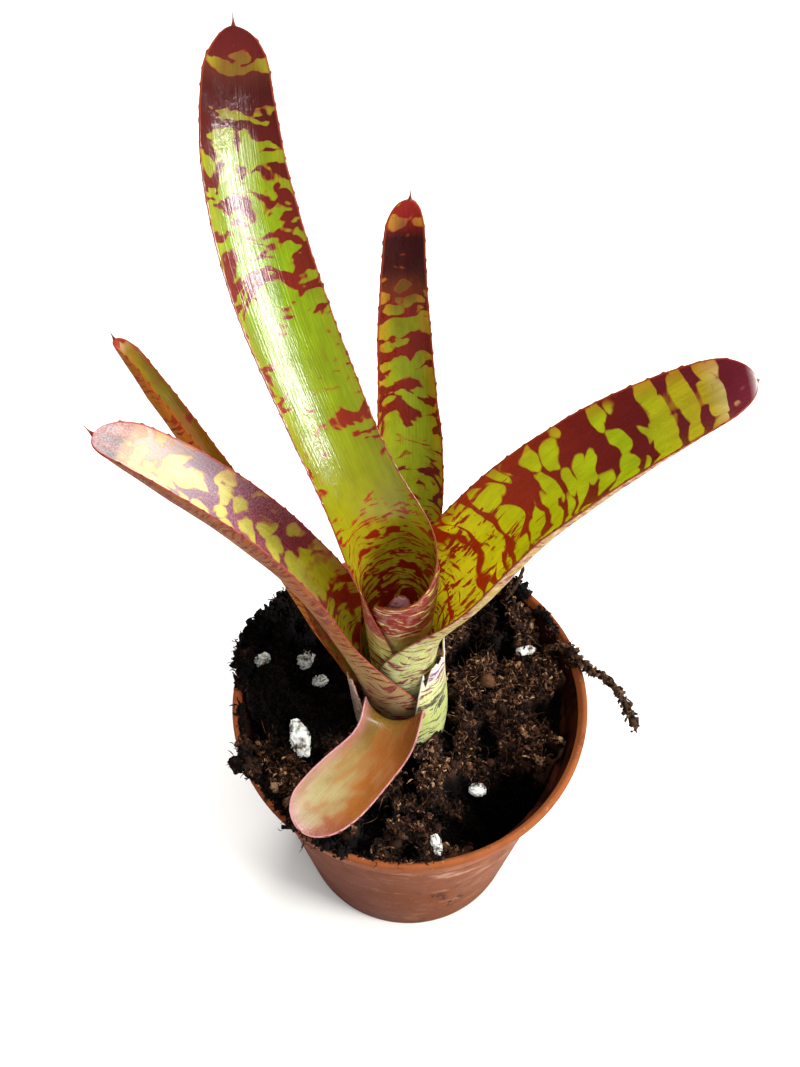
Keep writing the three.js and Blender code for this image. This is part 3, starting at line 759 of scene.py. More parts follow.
def perlite_grain(index, material):
    """A lumpy ball: each direction's radius is a middle value plus slow noise for its dents,
    less its fine pits and the creases between its facets."""
    x, y, length, width, height, turn, tone = PERLITE[index]
    shape, tris = ball(5)
    u, v, w = shape.T
    seed = 40 + index
    dents = rough_noise(u * 1.9 + 9, v * 1.9 + w * 1.4 + 9, seed)
    pits = rough_noise(u * 5 + 9, w * 5 + v * 3 + 20, seed + 5, 2)
    facets = np.abs(rough_noise(u * 3 + 20, v * 3 - w * 2 + 20, seed + 9, 2) - 0.5)
    radius = 0.72 + 0.5 * dents - 0.14 * smooth_step(0.5, 0.75, pits) - 0.3 * facets
    c, s = np.cos(np.radians(turn)), np.sin(np.radians(turn))
    points = shape * radius[:, None] * [length, width, height]
    points = points @ np.array([[c, s, 0], [-s, c, 0], [0, 0, 1]])
    points += [x, y, soil_base(x, y) + 0.25 * height]
    name = f"perlite_{index + 1}"
    make_piece(name + "_fine", points, [tris], {"tone": np.full(len(points), tone)}, material,
               [name])


# ---- roots ----

def root_tube(line, radius, seed, lumps):
    """A round tube along a smooth curve through the line's points, its radius made lumpy by
    noise round and along it; and the curve."""
    line = np.array(line, float)
    t = np.linspace(0, len(line) - 1, ROOT["rows"])
    padded = np.vstack([2 * line[0] - line[1], line, 2 * line[-1] - line[-2]])
    i = np.minimum(t.astype(int), len(line) - 2)
    f = (t - i)[:, None]
    a, b, c, d = (padded[i + k] for k in range(4))
    centre = 0.5 * (2 * b + (c - a) * f + (2 * a - 5 * b + 4 * c - d) * f ** 2
                    + (3 * b - a - 3 * c + d) * f ** 3)
    turn = np.arange(ROOT["sides"]) * 2 * np.pi / ROOT["sides"]
    rough = rough_noise(t[:, None] * 6 + 5, np.cos(turn) * 1.5 + np.sin(turn) + 20, seed, 3)
    ends = np.minimum(t, len(line) - 1 - t)[:, None]
    thick = radius * (1 + lumps * (rough - 0.5)) * np.sqrt(np.clip(ends * 6, 0.03, 1))
    return tube_rings(centre, thick, ROOT["sides"], (0.1, 0.2, 1.0)), centre


def root_piece(index, material):
    """An old root that leaves the soil; returns its curve."""
    root = ROOTS[index]
    x, y = root["start"]
    line = [(x, y, float(soil_base(x, y)) + root["radius"] + 0.3), *root["line"]]
    points, centre = root_tube(line, root["radius"], 60 + index, root["lumps"])
    flat, faces = rolled(points)
    name = f"root_{index + 1}"
    make_piece(name + "_fine", flat, faces, {"tone": np.full(len(flat), 0.45)}, material,
               [name])
    return centre


def root_crust(centre, material):
    """Soil stuck along the strand over the lip: small lumps and short hairs."""
    rng = np.random.default_rng(70)
    pick = centre[rng.integers(8, len(centre), 560)]
    centres = pick + rng.normal(0, 0.55, pick.shape)
    over_lip = np.hypot(centres[:, 0], centres[:, 1]) < POT["rim"] + 1
    centres[:, 2] = np.where(over_lip, np.maximum(centres[:, 2], POT["height"] + 0.5),
                             centres[:, 2])
    crumb_cloud("root_crumbs", centres, rng.uniform(0.25, 0.8, len(centres)), 71, material,
                tone=(0.15, 0.9), slot="root")
    thread_cloud("root_hairs", centres[:24], "hair", 72, material, slot="root")


def upright_shreds(material):
    """Thin lumpy shreds of root that stand in the soil, each with crumbs along it."""
    rng = np.random.default_rng(90)
    parts = []
    k = np.linspace(0, 1, 5)
    for index, ((x, y, z), height, (lean_x, lean_y)) in enumerate(UPRIGHTS):
        line = np.stack([x + lean_x * height * k + 0.3 * np.sin(5 * k),
                         y + lean_y * height * k, z + height * k], -1)
        centre = root_tube(line, 0.5, 80 + index, 1.2)[1]
        parts.append(centre[rng.integers(0, len(centre), 90)])
    spots = np.concatenate(parts)
    spots = spots + rng.normal(0, 0.32, spots.shape)
    crumb_cloud("root_shreds", spots, rng.uniform(0.2, 0.6, len(spots)), 91, material,
                tone=(0.2, 0.95), slot="root")


# ---- shader helpers ----

def rgb(code):
    """A hex colour as linear light, with alpha 1."""
    parts = [int(code[k:k + 2], 16) / 255 for k in (1, 3, 5)]
    return (*[c / 12.92 if c <= 0.04045 else ((c + 0.055) / 1.055) ** 2.4 for c in parts], 1.0)


def grey(value):
    """A grey in linear light, with alpha 1."""
    return (value, value, value, 1.0)


class Shade:
    """A number, colour or place that a shader works out over the surface. It is added,
    multiplied and so on as numbers are, each time by one more node."""

    def __init__(self, socket):
        self.socket = socket

    def __add__(self, other):
        return maths("ADD", self, other)

    def __sub__(self, other):
        return maths("SUBTRACT", self, other)

    def __rsub__(self, other):
        return maths("SUBTRACT", other, self)

    def __mul__(self, other):
        return maths("MULTIPLY", self, other)

    def __truediv__(self, other):
        return maths("DIVIDE", self, other)

    def __abs__(self):
        return maths("ABSOLUTE", self)

    __radd__, __rmul__ = __add__, __mul__


def put(kind, inputs, output=0, tree=None, **settings):
    """One output of a new node with its settings. An input takes a shade, whose tree the node
    joins, a hex colour or a plain value."""
    shades = [value for value in inputs.values() if isinstance(value, Shade)]
    node = (tree or shades[0].socket.id_data).nodes.new(kind)
    for key, value in settings.items():
        setattr(node, key, value)
    for key, value in inputs.items():
        if isinstance(value, Shade):
            node.id_data.links.new(value.socket, node.inputs[key])
        else:
            node.inputs[key].default_value = rgb(value) if isinstance(value, str) else value
    return Shade(node.outputs[output])


def maths(operation, a, b=0.0):
    """A sum on one or two numbers, each a shade or a plain value."""
    return put("ShaderNodeMath", {0: a, 1: b}, operation=operation)


def blend(share, a, b, how="MIX"):
    """Colour a with a share of colour b mixed in, or multiplied by it."""
    return put("ShaderNodeMix", {0: share, 6: a, 7: b}, 2, data_type="RGBA", blend_type=how)


def between(value, low, high, to_low=0.0, to_high=1.0):
    """Smooth step of a value from one range to another."""
    return put("ShaderNodeMapRange", {
        "Value": value, "From Min": low, "From Max": high, "To Min": to_low,
        "To Max": to_high}, interpolation_type="SMOOTHSTEP")


def near(value, middle, inner, outer, most=1.0):
    """Most within the inner distance of the middle, easing to 0 at the outer one."""
    return between(abs(value - middle), inner, outer, most, 0.0)


def ramp(value, stops):
    """A colour ramp with stops of {place: hex colour or grey value}."""
    colours = put("ShaderNodeValToRGB", {0: value})
    elements = colours.socket.node.color_ramp.elements
    for index, (place, colour) in enumerate(stops.items()):
        element = elements[index] if index < 2 else elements.new(place)
        element.position = place
        element.color = rgb(colour) if isinstance(colour, str) else grey(colour)
    return colours


def noise(place, scale, detail, roughness=0.55, stretch=(1, 1, 1)):
    """Noise at a place that is first stretched along its axes."""
    if stretch != (1, 1, 1):
        place = put("ShaderNodeVectorMath", {0: place, 1: stretch}, operation="MULTIPLY")
    return put("ShaderNodeTexNoise", {
        "Vector": place, "Scale": scale, "Detail": detail, "Roughness": roughness}, "Fac")


def axes(place):
    """The three numbers of a place."""
    first = put("ShaderNodeSeparateXYZ", {0: place})
    return [Shade(socket) for socket in first.socket.node.outputs]


def joined(x, y, z):
    """A place from its three numbers."""
    return put("ShaderNodeCombineXYZ", {0: x, 1: y, 2: z})


def attribute(tree, key, output="Fac"):
    """A value that the mesh holds at its points."""
    return put("ShaderNodeAttribute", {}, output, tree, attribute_name=key)


def object_place(tree):
    """The place on the object, in metres."""
    return put("ShaderNodeTexCoord", {}, "Object", tree)


def group(name, inputs, outputs, formula):
    """A shader node group of number inputs and outputs and a Place: the formula takes the
    inputs as shades by name, and returns the outputs in turn."""
    tree = bpy.data.node_groups.new(name, "ShaderNodeTree")
    tree.interface.new_socket("Place", in_out="INPUT", socket_type="NodeSocketVector")
    for key in inputs:
        tree.interface.new_socket(key, in_out="INPUT", socket_type="NodeSocketFloat")
    for key in outputs:
        tree.interface.new_socket(key, in_out="OUTPUT", socket_type="NodeSocketFloat")
    given, result = tree.nodes.new("NodeGroupInput"), tree.nodes.new("NodeGroupOutput")
    found = formula({socket.name: Shade(socket) for socket in given.outputs})
    for socket, shade in zip(result.inputs, found):
        tree.links.new(shade.socket, socket)
    return tree


def blotches(given):
    """Patterns to be compared with the share of a leaf that they should cover, each spread over
    0..1: Field, rounded blotches stretched across the leaf, partly set out as cells, with small
    spots among them and edges nudged along its fine veins; Scribble, thin broken lines across
    it; Streak, thin broken lines along it."""
    across, straight = axes(given["Place"])[:2]

    def stretched(across_step, along_step, shift, along):
        return joined(across / across_step, along / along_step, given["Seed"] + shift)

    def pattern(across_step, along_step, shift, detail, roughness, along):
        return noise(stretched(across_step, along_step, shift, along), 1.0, detail, roughness)

    jag = pattern(0.7, 3.0, 2.0, 2.0, 0.6, straight) - 0.5
    slow = pattern(9.0, 9.0, 3.0, 1.0, 0.5, straight) - 0.5
    along = straight + (jag * (given["Rag"] * 4.0) + slow * 9.0)
    size, spots, cells = given["Length"], given["Spots"], given["Cells"]
    wide = size * given["Stretch"]
    big = pattern(wide, size, 0.0, 0.8, 0.5, along)
    small = pattern(wide * 0.32, size * 0.46, 6.0, 0.5, 0.5, along)
    from_middle = put("ShaderNodeTexVoronoi", {
        "Vector": stretched(wide, size, 9.0, along), "Scale": 1.0}, "Distance")
    rounded = between(from_middle, 0.2, 0.85, 0.72, 0.3)
    field = big * (1.0 - spots - cells) + (small * spots + rounded * cells)
    lines = pattern(5.0, 0.95, 4.0, 3.0, 0.6, along)
    streaks = pattern(1.1, 7.0, 8.0, 3.0, 0.6, along)
    return between(field, 0.32, 0.68), between(lines, 0.3, 0.7), between(streaks, 0.3, 0.7)


def vein_lines(given):
    """Fine lines along a leaf, for its colour and for its bump."""
    fine = noise(given["Place"], 1.0, 2.0, 0.6, (3.4, 0.035, 0))
    broad = noise(given["Place"], 1.0, 2.0, 0.5, (1.1, 0.05, 0))
    return [fine * 0.65 + broad * 0.35]


PATTERN = ("Seed", "Length", "Stretch", "Rag", "Spots", "Cells")
BLOTCHES = group("leaf_blotches", PATTERN, ("Field", "Scribble", "Streak"), blotches)
VEINS = group("leaf_veins", (), ("Lines",), vein_lines)


def new_material(name, roughness, colour=grey(1.0), **constants):
    """A material whose Principled shader has its constants set on its own sockets."""
    material = bpy.data.materials.new(name)
    material.use_nodes = True
    tree = material.node_tree
    shader = tree.nodes["Principled BSDF"]
    for key, value in {"Base Color": colour, "Roughness": roughness, **constants}.items():
        shader.inputs[key].default_value = value
    return material, tree, shader


def dress(shader, colour, height=None, strength=0.5, depth=0.0003, rough=None):
    """Feeds a shader its colour, its roughness and the bump of a height, depth in metres."""
    feeds = {"Base Color": colour, "Roughness": rough}
    if height:
        feeds["Normal"] = put("ShaderNodeBump", {
            "Height": height, "Strength": strength, "Distance": depth})
    for key, shade in feeds.items():
        if shade:
            shader.id_data.links.new(shade.socket, shader.inputs[key])


# How each leaf is coloured from its foot (0) to its tip (1), as ramps of {place: value}. The
# pattern is its blotches' seed, length, stretch, rag, spots and cells. On the upper face: the
# green or yellow ground, the share under red blotches (amount), under thin lines across it and
# under streaks along it, the red itself, and the tint of the ground by its margins. Outside:
# its ground (under), its red lines and how much pale scurf covers it. Rim adds red by the
# margins, gloss is the shine, polish the least and most roughness of the upper face, soft the
# blur between ground and red, frost a fine white bloom, and lean how much redder each mm to
# one side is.
LOOKS = {
    "leaf_tall": {
        "pattern": (86.2, 2.7, 2.2, 0.06, 0.32, 0.42), "rim": 0.26, "gloss": 0.3,
        "polish": (0.15, 0.24), "soft": 0.1, "tint": "#94901a", "scurf": 0.08,
        "ground": {0: "#b4b24a", 0.3: "#c6b42a", 0.38: "#aca21c", 0.45: "#8c880e", 0.5: "#80840a",
            0.6: "#7f9008", 0.75: "#7c9606", 0.88: "#808c0c", 0.93: "#6c5210", 0.96: "#6c5012",
            1: "#70421c"},
        "amount": {0: 0.3, 0.3: 0.46, 0.38: 0.26, 0.44: 0.16, 0.475: 0.04, 0.52: 0.0, 0.535: 0.42,
            0.565: 0.4, 0.58: 0.12, 0.68: 0.14, 0.705: 0.2, 0.716: 0.5, 0.745: 0.54, 0.77: 0.46,
            0.782: 0.28, 0.81: 0.28, 0.822: 0.46, 0.84: 0.5, 0.85: 0.34, 0.872: 0.32, 0.882: 0.5,
            0.908: 0.56, 0.918: 0.95, 0.944: 0.93, 0.952: 0.32, 0.962: 0.36, 0.972: 1},
        "lines": {0: 0.2, 0.3: 0.36, 0.36: 0.34, 0.4: 0.28, 0.455: 0.26, 0.47: 0},
        "red": {0: "#9c200c", 0.38: "#8c200c", 0.46: "#7c1e0c", 0.6: "#7c220c", 0.8: "#66160a",
            0.93: "#3c0804", 0.955: "#501c0c", 0.97: "#520e09", 1: "#4a0f0c"},
        "under": {0: "#c6cf6c", 0.26: "#c2c258", 0.3: "#8c1c0e", 0.4: "#84180c", 0.5: "#a8a040",
            1: "#9a9a3c"},
        "under_red": {0: 0.3, 0.26: 0.4, 0.3: 0.2, 0.4: 0.18, 0.5: 0.3, 1: 0.6},
        "under_line": {0: "#7c1f1c", 0.27: "#7c1f1c", 0.3: "#e2d27a", 0.4: "#e2d27a",
            0.45: "#7c1f1c", 1: "#7c1f1c"},
    },
    "leaf_right": {
        "pattern": (181.2, 3.4, 2.2, 0.01, 0.2, 0.74), "rim": 0.3, "gloss": 0.14, "soft": 0.13,
        "tint": "#a86420", "scurf": 0.16,
        "ground": {0: "#d4d478", 0.3: "#ece43c", 0.36: "#f6ee30", 0.5: "#e8e418", 0.6: "#c0c40a",
            0.8: "#a0b00a", 0.93: "#a89418", 1: "#d8c8a0"},
        "amount": {0: 0.1, 0.27: 0.2, 0.35: 0.3, 0.42: 0.32, 0.48: 0.3, 0.58: 0.38, 0.62: 0.56,
            0.66: 0.46, 0.7: 0.62, 0.735: 0.42, 0.76: 0.68, 0.79: 0.54, 0.81: 0.76, 0.838: 0.9,
            0.848: 0.1, 0.87: 0.1, 0.878: 1, 0.889: 1, 0.896: 0.12, 0.911: 0.14, 0.917: 1,
            0.924: 1, 0.931: 0.16, 0.953: 0.2, 0.96: 1},
        "lines": {0: 0.25, 0.3: 0.36, 0.4: 0.15, 0.46: 0},
        "streaks": {0: 0.2, 0.3: 0.38, 0.42: 0.35, 0.5: 0.26, 0.6: 0.2, 0.66: 0},
        "red": {0: "#b4300c", 0.4: "#c0380c", 0.55: "#a03010", 0.75: "#6a1810", 0.85: "#5c1210",
            0.96: "#5e1420", 0.99: "#641a26", 0.996: "#a88c8c", 1: "#dcd0cc"},
        "under": {0: "#c4cc80", 0.36: "#b8c070", 0.44: "#a08c40", 0.6: "#a4823c", 1: "#a0644c"},
        "under_red": {0: 0.3, 0.2: 0.38, 0.42: 0.4, 0.55: 0.3, 1: 0.3},
        "under_line": {0: "#74202a", 1: "#7c2a22"},
    },
    "leaf_back": {
        "pattern": (191.7, 2.5, 2.0, 0.05, 0.24, 0.6), "rim": 0.2, "gloss": 0.1, "soft": 0.1,
        "tint": "#b4801a", "scurf": 0.2,
        "ground": {0: "#bcc860", 0.4: "#aeae24", 0.6: "#98a624", 0.68: "#849012", 0.77: "#747c10",
            0.84: "#70700e", 0.865: "#5c4010", 0.92: "#5a3410", 0.98: "#7c4a2c", 1: "#8c5030"},
        "amount": {0: 0.1, 0.5: 0.18, 0.545: 0.42, 0.575: 0.4, 0.59: 0.12, 0.64: 0.1, 0.67: 0.4,
            0.71: 0.36, 0.74: 0.22, 0.758: 0.24, 0.768: 0.68, 0.806: 0.66, 0.815: 0.1, 0.828: 0.12,
            0.835: 0.6, 0.842: 0.3, 0.86: 0.36, 0.868: 0.62, 0.89: 0.66, 0.9: 0.97, 0.955: 0.97,
            0.97: 0.45, 1: 0.6},
        "lines": {0: 0.2, 0.4: 0.3, 0.6: 0.1, 0.8: 0},
        "red": {0: "#8a2210", 0.55: "#6c2028", 0.65: "#6c1c10", 0.84: "#641408", 0.88: "#54200c",
            0.905: "#300504", 0.95: "#2c0404", 0.975: "#74160e", 1: "#80201a"},
        "under": {0: "#c6d070", 1: "#8a4a26"},
        "under_red": {0: 0.4, 1: 0.6},
        "under_line": {0: "#74202a", 1: "#641a14"},
    },
    "leaf_left": {
        "pattern": (123.9, 4.2, 1.1, 0.02, 0.24, 0.6), "rim": 0.2, "gloss": 0.16, "soft": 0.18,
        "tint": "#a8644c", "scurf": 0.03, "margin": "#8c2c34",
        "ground": {0: "#a9ad4a", 0.3: "#b0a824", 0.4: "#b8ae14", 0.52: "#b4ae12", 0.62: "#a8a220",
            0.7: "#b0a83c", 0.78: "#d0c87c", 0.9: "#dcd49c", 0.94: "#d0c098", 0.955: "#7c7078",
            1: "#948488"},
        "amount": {0: 0.2, 0.3: 0.4, 0.4: 0.5, 0.44: 0.46, 0.46: 0.1, 0.51: 0.08, 0.54: 0.6,
            0.66: 0.66, 0.72: 0.62, 0.78: 0.52, 0.82: 0.46, 0.9: 0.42, 0.95: 0.1, 1: 0.3},
        "lines": {0: 0.3, 0.35: 0.4, 0.43: 0.15, 0.5: 0},
        "frost": {0: 0.0, 0.45: 0.0, 0.56: 0.07, 0.7: 0.2, 0.93: 0.12, 0.95: 0.3, 1: 0.4},
        "red": {0: "#8a2010", 0.45: "#8c240f", 0.58: "#70182a", 0.66: "#762034", 0.74: "#7c4c60",
            0.82: "#8c7884", 0.92: "#c0aa98", 1: "#8a7078"},
        "under": {0: "#a08a68", 0.2: "#a48a60", 0.33: "#a88650", 0.42: "#a8682a", 0.6: "#9c5a20",
            1: "#8c4a18"},
        "under_red": {0: 0.2, 0.3: 0.4, 0.5: 0.42, 1: 0.46},
        "under_line": {0: "#7c2a2a", 1: "#7c3018"},
    },
    "leaf_far_left": {
        "pattern": (27.9, 5, 0.9, 0.3, 0.3, 0.3), "rim": 0.2, "gloss": 0.06, "soft": 0.12,
        "tint": "#7c5a14", "scurf": 0.0, "margin": "#8c3c24",
        "ground": {0: "#7c6420", 0.5: "#8c5a12", 0.82: "#945f10", 0.87: "#7e7614", 0.94: "#847216",
            0.97: "#8c6c24", 0.985: "#b09068", 1: "#d0b4a0"},
        "amount": {0: 0.3, 0.5: 0.22, 0.7: 0.06, 0.9: 0.1, 0.96: 0.4, 1: 0.6},
        "lines": {0: 0.3, 0.5: 0.2, 0.8: 0},
        "red": {0: "#6d2c16", 0.7: "#7c2c18", 1: "#86301e"},
        "under": {0: "#a4681c", 0.5: "#a86812", 0.97: "#985812", 1: "#c8a070"},
        "under_red": {0: 0.3, 0.6: 0.42, 0.8: 0.36, 1: 0.4},
        "under_line": {0: "#7c240c", 1: "#84280c"},
    },
    "leaf_front": {
        "pattern": (33.3, 7, 0.7, 0.3, 0.4, 0.0), "rim": 0.2, "gloss": 0.12, "soft": 1.0,
        "tint": "#b4787c", "lean": 0.12, "scurf": 0.3, "margin": "#cc949c", "bright": "#a8602c",
        # Its ground darkens near 0.42, where the blade bends out of the tube: painted shade in its
        # throat.
        "ground": {0: "#b6b458", 0.3: "#8c7c28", 0.42: "#6c5414", 0.54: "#806026", 0.7: "#a08e5a",
            0.85: "#aca070", 0.95: "#b8a684", 1: "#c8989a"},
        "amount": {0: 0.2, 0.4: 0.3, 0.55: 0.5, 0.7: 0.5, 0.85: 0.36, 1: 0.3},
        "lines": {0: 0.2, 0.3: 0.2, 0.45: 0},
        "frost": {0: 0, 0.9: 0.04, 0.97: 0.2, 1: 0.4},
        "red": {0: "#8a4c1a", 0.44: "#74400c", 0.6: "#8e4e10", 0.8: "#9a5c1c", 1: "#9c5044"},
        "under": {0: "#b4a040", 0.45: "#b0803a", 1: "#c89a62"},
        "under_red": {0: 0.2, 1: 0.3},
        "under_line": {0: "#8c4a20", 1: "#9c5a34"},
    },
    "leaf_heart": {
        "pattern": (38.2, 3, 1.0, 0.2, 0.3, 0.0), "rim": 0.1, "gloss": 0.3, "soft": 0.12,
        "tint": "#c88a80", "scurf": 0.1,
        "ground": {0: "#b06a50", 0.7: "#c86c60", 0.9: "#d48484", 1: "#e8c0c4"},
        "amount": {0: 0.4, 0.8: 0.5, 0.95: 0.3, 1: 0.15},
        "lines": {0: 0.3, 0.9: 0.3, 1: 0.1},
        "red": {0: "#8a2a24", 0.9: "#a04060", 1: "#a05a7c"},
        "under": {0: "#b06050", 0.8: "#d05c66", 1: "#ecb4bc"},
        "under_red": {0: 0.3, 0.9: 0.4, 1: 0.2},
        "under_line": {0: "#8a2a3a", 1: "#944a70"},
    },
    "sheath_right": {
        "pattern": (44.6, 4, 0.6, 0.3, 0.3, 0.0), "rim": 0.0, "gloss": 0.2, "tint": "#e6ecc4",
        "scurf": 0.12, "margin": "#e8dcd8",
        "ground": {0: "#c6d070", 1: "#e6ecc4"},
        "amount": {0: 0.1, 1: 0.2},
        "lines": {0: 0.3, 0.6: 0.3, 1: 0.2},
        "red": {0: "#3f4a1c", 1: "#8a3c5c"},
        "under": {0: "#d6dc98", 0.4: "#c8d674", 0.75: "#dce09a", 0.9: "#ece8dc", 1: "#f2eef0"},
        "under_red": {0: 0.12, 0.3: 0.34, 0.7: 0.3, 0.82: 0.42, 0.93: 0.5, 1: 0.4},
        "under_line": {0: "#34421c", 0.6: "#4a4230", 0.8: "#7c2c50", 1: "#8a5a94"},
    },
    "sheath_left": {
        "pattern": (50.2, 6, 0.9, 0.3, 0.3, 0.0), "rim": 0.0, "gloss": 0.1, "soft": 0.15,
        "tint": "#b59a8c", "scurf": 0.3, "margin": "#c8a090",
        "ground": {0: "#8a7a4a", 0.5: "#8f7a56", 1: "#b59a8c"},
        "amount": {0: 0.35, 0.6: 0.5, 1: 0.45},
        "lines": {0: 0.3, 1: 0.3},
        "red": {0: "#4f3520", 0.6: "#5e3c30", 1: "#a05c68"},
        "under": {0: "#7c6444", 0.6: "#94765c", 0.9: "#b08a7c", 1: "#c88a90"},
        "under_red": {0: 0.4, 1: 0.45},
        "under_line": {0: "#4f3220", 0.8: "#7c4440", 1: "#8c3c50"},
    },
}


def leaf_upper(look, place, share, edge, given):
    """The upper face: its ground and its red, chosen by comparing the blotches, the thin lines
    and the streaks with the share of red at that length."""
    amount = ramp(share, look["amount"]) * 1.1 - 0.08 + between(edge, 0.0, 4.6, look["rim"], 0.0)
    if "lean" in look:
        amount = amount + axes(place)[0] * look["lean"]
    depth = amount - given["Field"]
    soft = look.get("soft", 0.035)
    red_mask = between(depth, -soft, soft)
    for key, output in (("lines", "Scribble"), ("streaks", "Streak")):
        if key in look:
            over = ramp(share, look[key]) - given[output]
            red_mask = maths("MAXIMUM", red_mask, between(over, 0.0, 0.06))
    ground = ramp(share, look["ground"])
    ground = blend(between(edge, 0.0, 4.0, 0.6, 0.0), ground, look["tint"])
    mottle = noise(place, 1.0, 3.0, 0.6, (0.3, 0.12, 0))
    ground = blend(between(mottle, 0.35, 0.7, 0.0, 0.35), ground,
                   blend(1.0, ground, "#b3a060", "MULTIPLY"))
    red = ramp(share, look["red"])
    bright = blend(0.5, red, look.get("bright", "#a8401a"))
    red = blend(between(depth, 0.0, max(0.07, soft)), bright, red)
    colour = blend(red_mask, ground, red)
    colour = blend(1.0, colour, blend(between(given["Lines"], 0.35, 0.65), grey(0.88),
                                      grey(1.0)), "MULTIPLY")
    if "frost" in look:
        bloom = noise(place, 1.0, 4.0, 0.75, (2.6, 2.2, 0))
        bloom = between(bloom, 0.4, 0.7) * ramp(share, look["frost"])
        colour = blend(bloom, colour, "#eee6e6")
    return colour


def leaf_outer(look, place, share, given):
    """The outer face: its ground with dark lines across it, ribs and pale scurf."""
    over = ramp(share, look["under_red"]) - given["Scribble"]
    colour = blend(between(over, -0.03, 0.06), ramp(share, look["under"]),
                   ramp(share, look["under_line"]))
    scurf = noise(place, 1.0, 5.0, 0.68, (0.45, 0.7, 0))
    colour = blend(between(scurf, 0.45, 0.62) * (look["scurf"] * 2.2), colour, "#e6dccb")
    ribs = blend(between(given["Lines"], 0.3, 0.7), grey(0.78), grey(1.0))
    return blend(1.0, colour, ribs, "MULTIPLY")


def leaf_material(name):
    """A leaf's two faces, its thin margin and its brown spines, with veins in its bump."""
    look = LOOKS[name]
    material, tree, shader = new_material(name + "_skin", 0.36, **{
        "Subsurface Weight": 0.4, "Subsurface Radius": (1.0, 0.9, 0.25),
        "Subsurface Scale": 0.0011, "Specular IOR Level": look["gloss"]})
    place = attribute(tree, "leaf_place", "Vector")
    share, side = attribute(tree, "leaf_share"), attribute(tree, "leaf_face")
    edge = axes(place)[2]
    pattern = put("ShaderNodeGroup", {"Place": place, **dict(zip(PATTERN, look["pattern"]))},
                  node_tree=BLOTCHES)
    veins = put("ShaderNodeGroup", {"Place": place}, node_tree=VEINS)
    given = {socket.name: Shade(socket) for socket in pattern.socket.node.outputs}
    given["Lines"] = veins

    colour = blend(between(side, -0.6, 0.2, 1.0, 0.0),
                   leaf_upper(look, place, share, edge, given),
                   leaf_outer(look, place, share, given))
    colour = blend(between(edge, 0.05, 0.3, 0.8, 0.0), colour, look.get("margin", "#7a2c14"))
    colour = blend(between(edge, -0.25, -0.05, 1.0, 0.0), colour, "#5e1e12")

    smooth, dull = look.get("polish", (0.24, 0.34))
    rough = between(noise(place, 1.0, 3.0, 0.6, (0.5, 0.2, 0)), 0.3, 0.7, smooth, dull)
    rough = maths("MAXIMUM", rough, between(side, -0.6, 0.2, 0.6, 0.0))
    fine = noise(place, 1.0, 2.0, 0.6, (1.4, 1.0, 0))
    dress(shader, colour, veins + fine * 0.5, 0.45, rough=rough)
    return material


def soil_material(name, light):
    """Brown that runs from near black to the lighter brown of dry fibre, by each crumb's tone,
    partly its own and partly painted shade, and by a fine grain."""
    material, tree, shader = new_material(name, 0.85, **{"Specular IOR Level": 0.08})
    grain = noise(object_place(tree), 1500.0, 4.0, 0.7)
    colour = ramp(attribute(tree, "tone") * (grain * 1.3 + 0.35), {
        0: "#050302", 0.1: "#0d0705", 0.3: "#26170f", 0.55: light[0], 0.8: light[1],
        1: light[2]})
    dress(shader, colour, grain, 0.8, 0.0004)
    return material


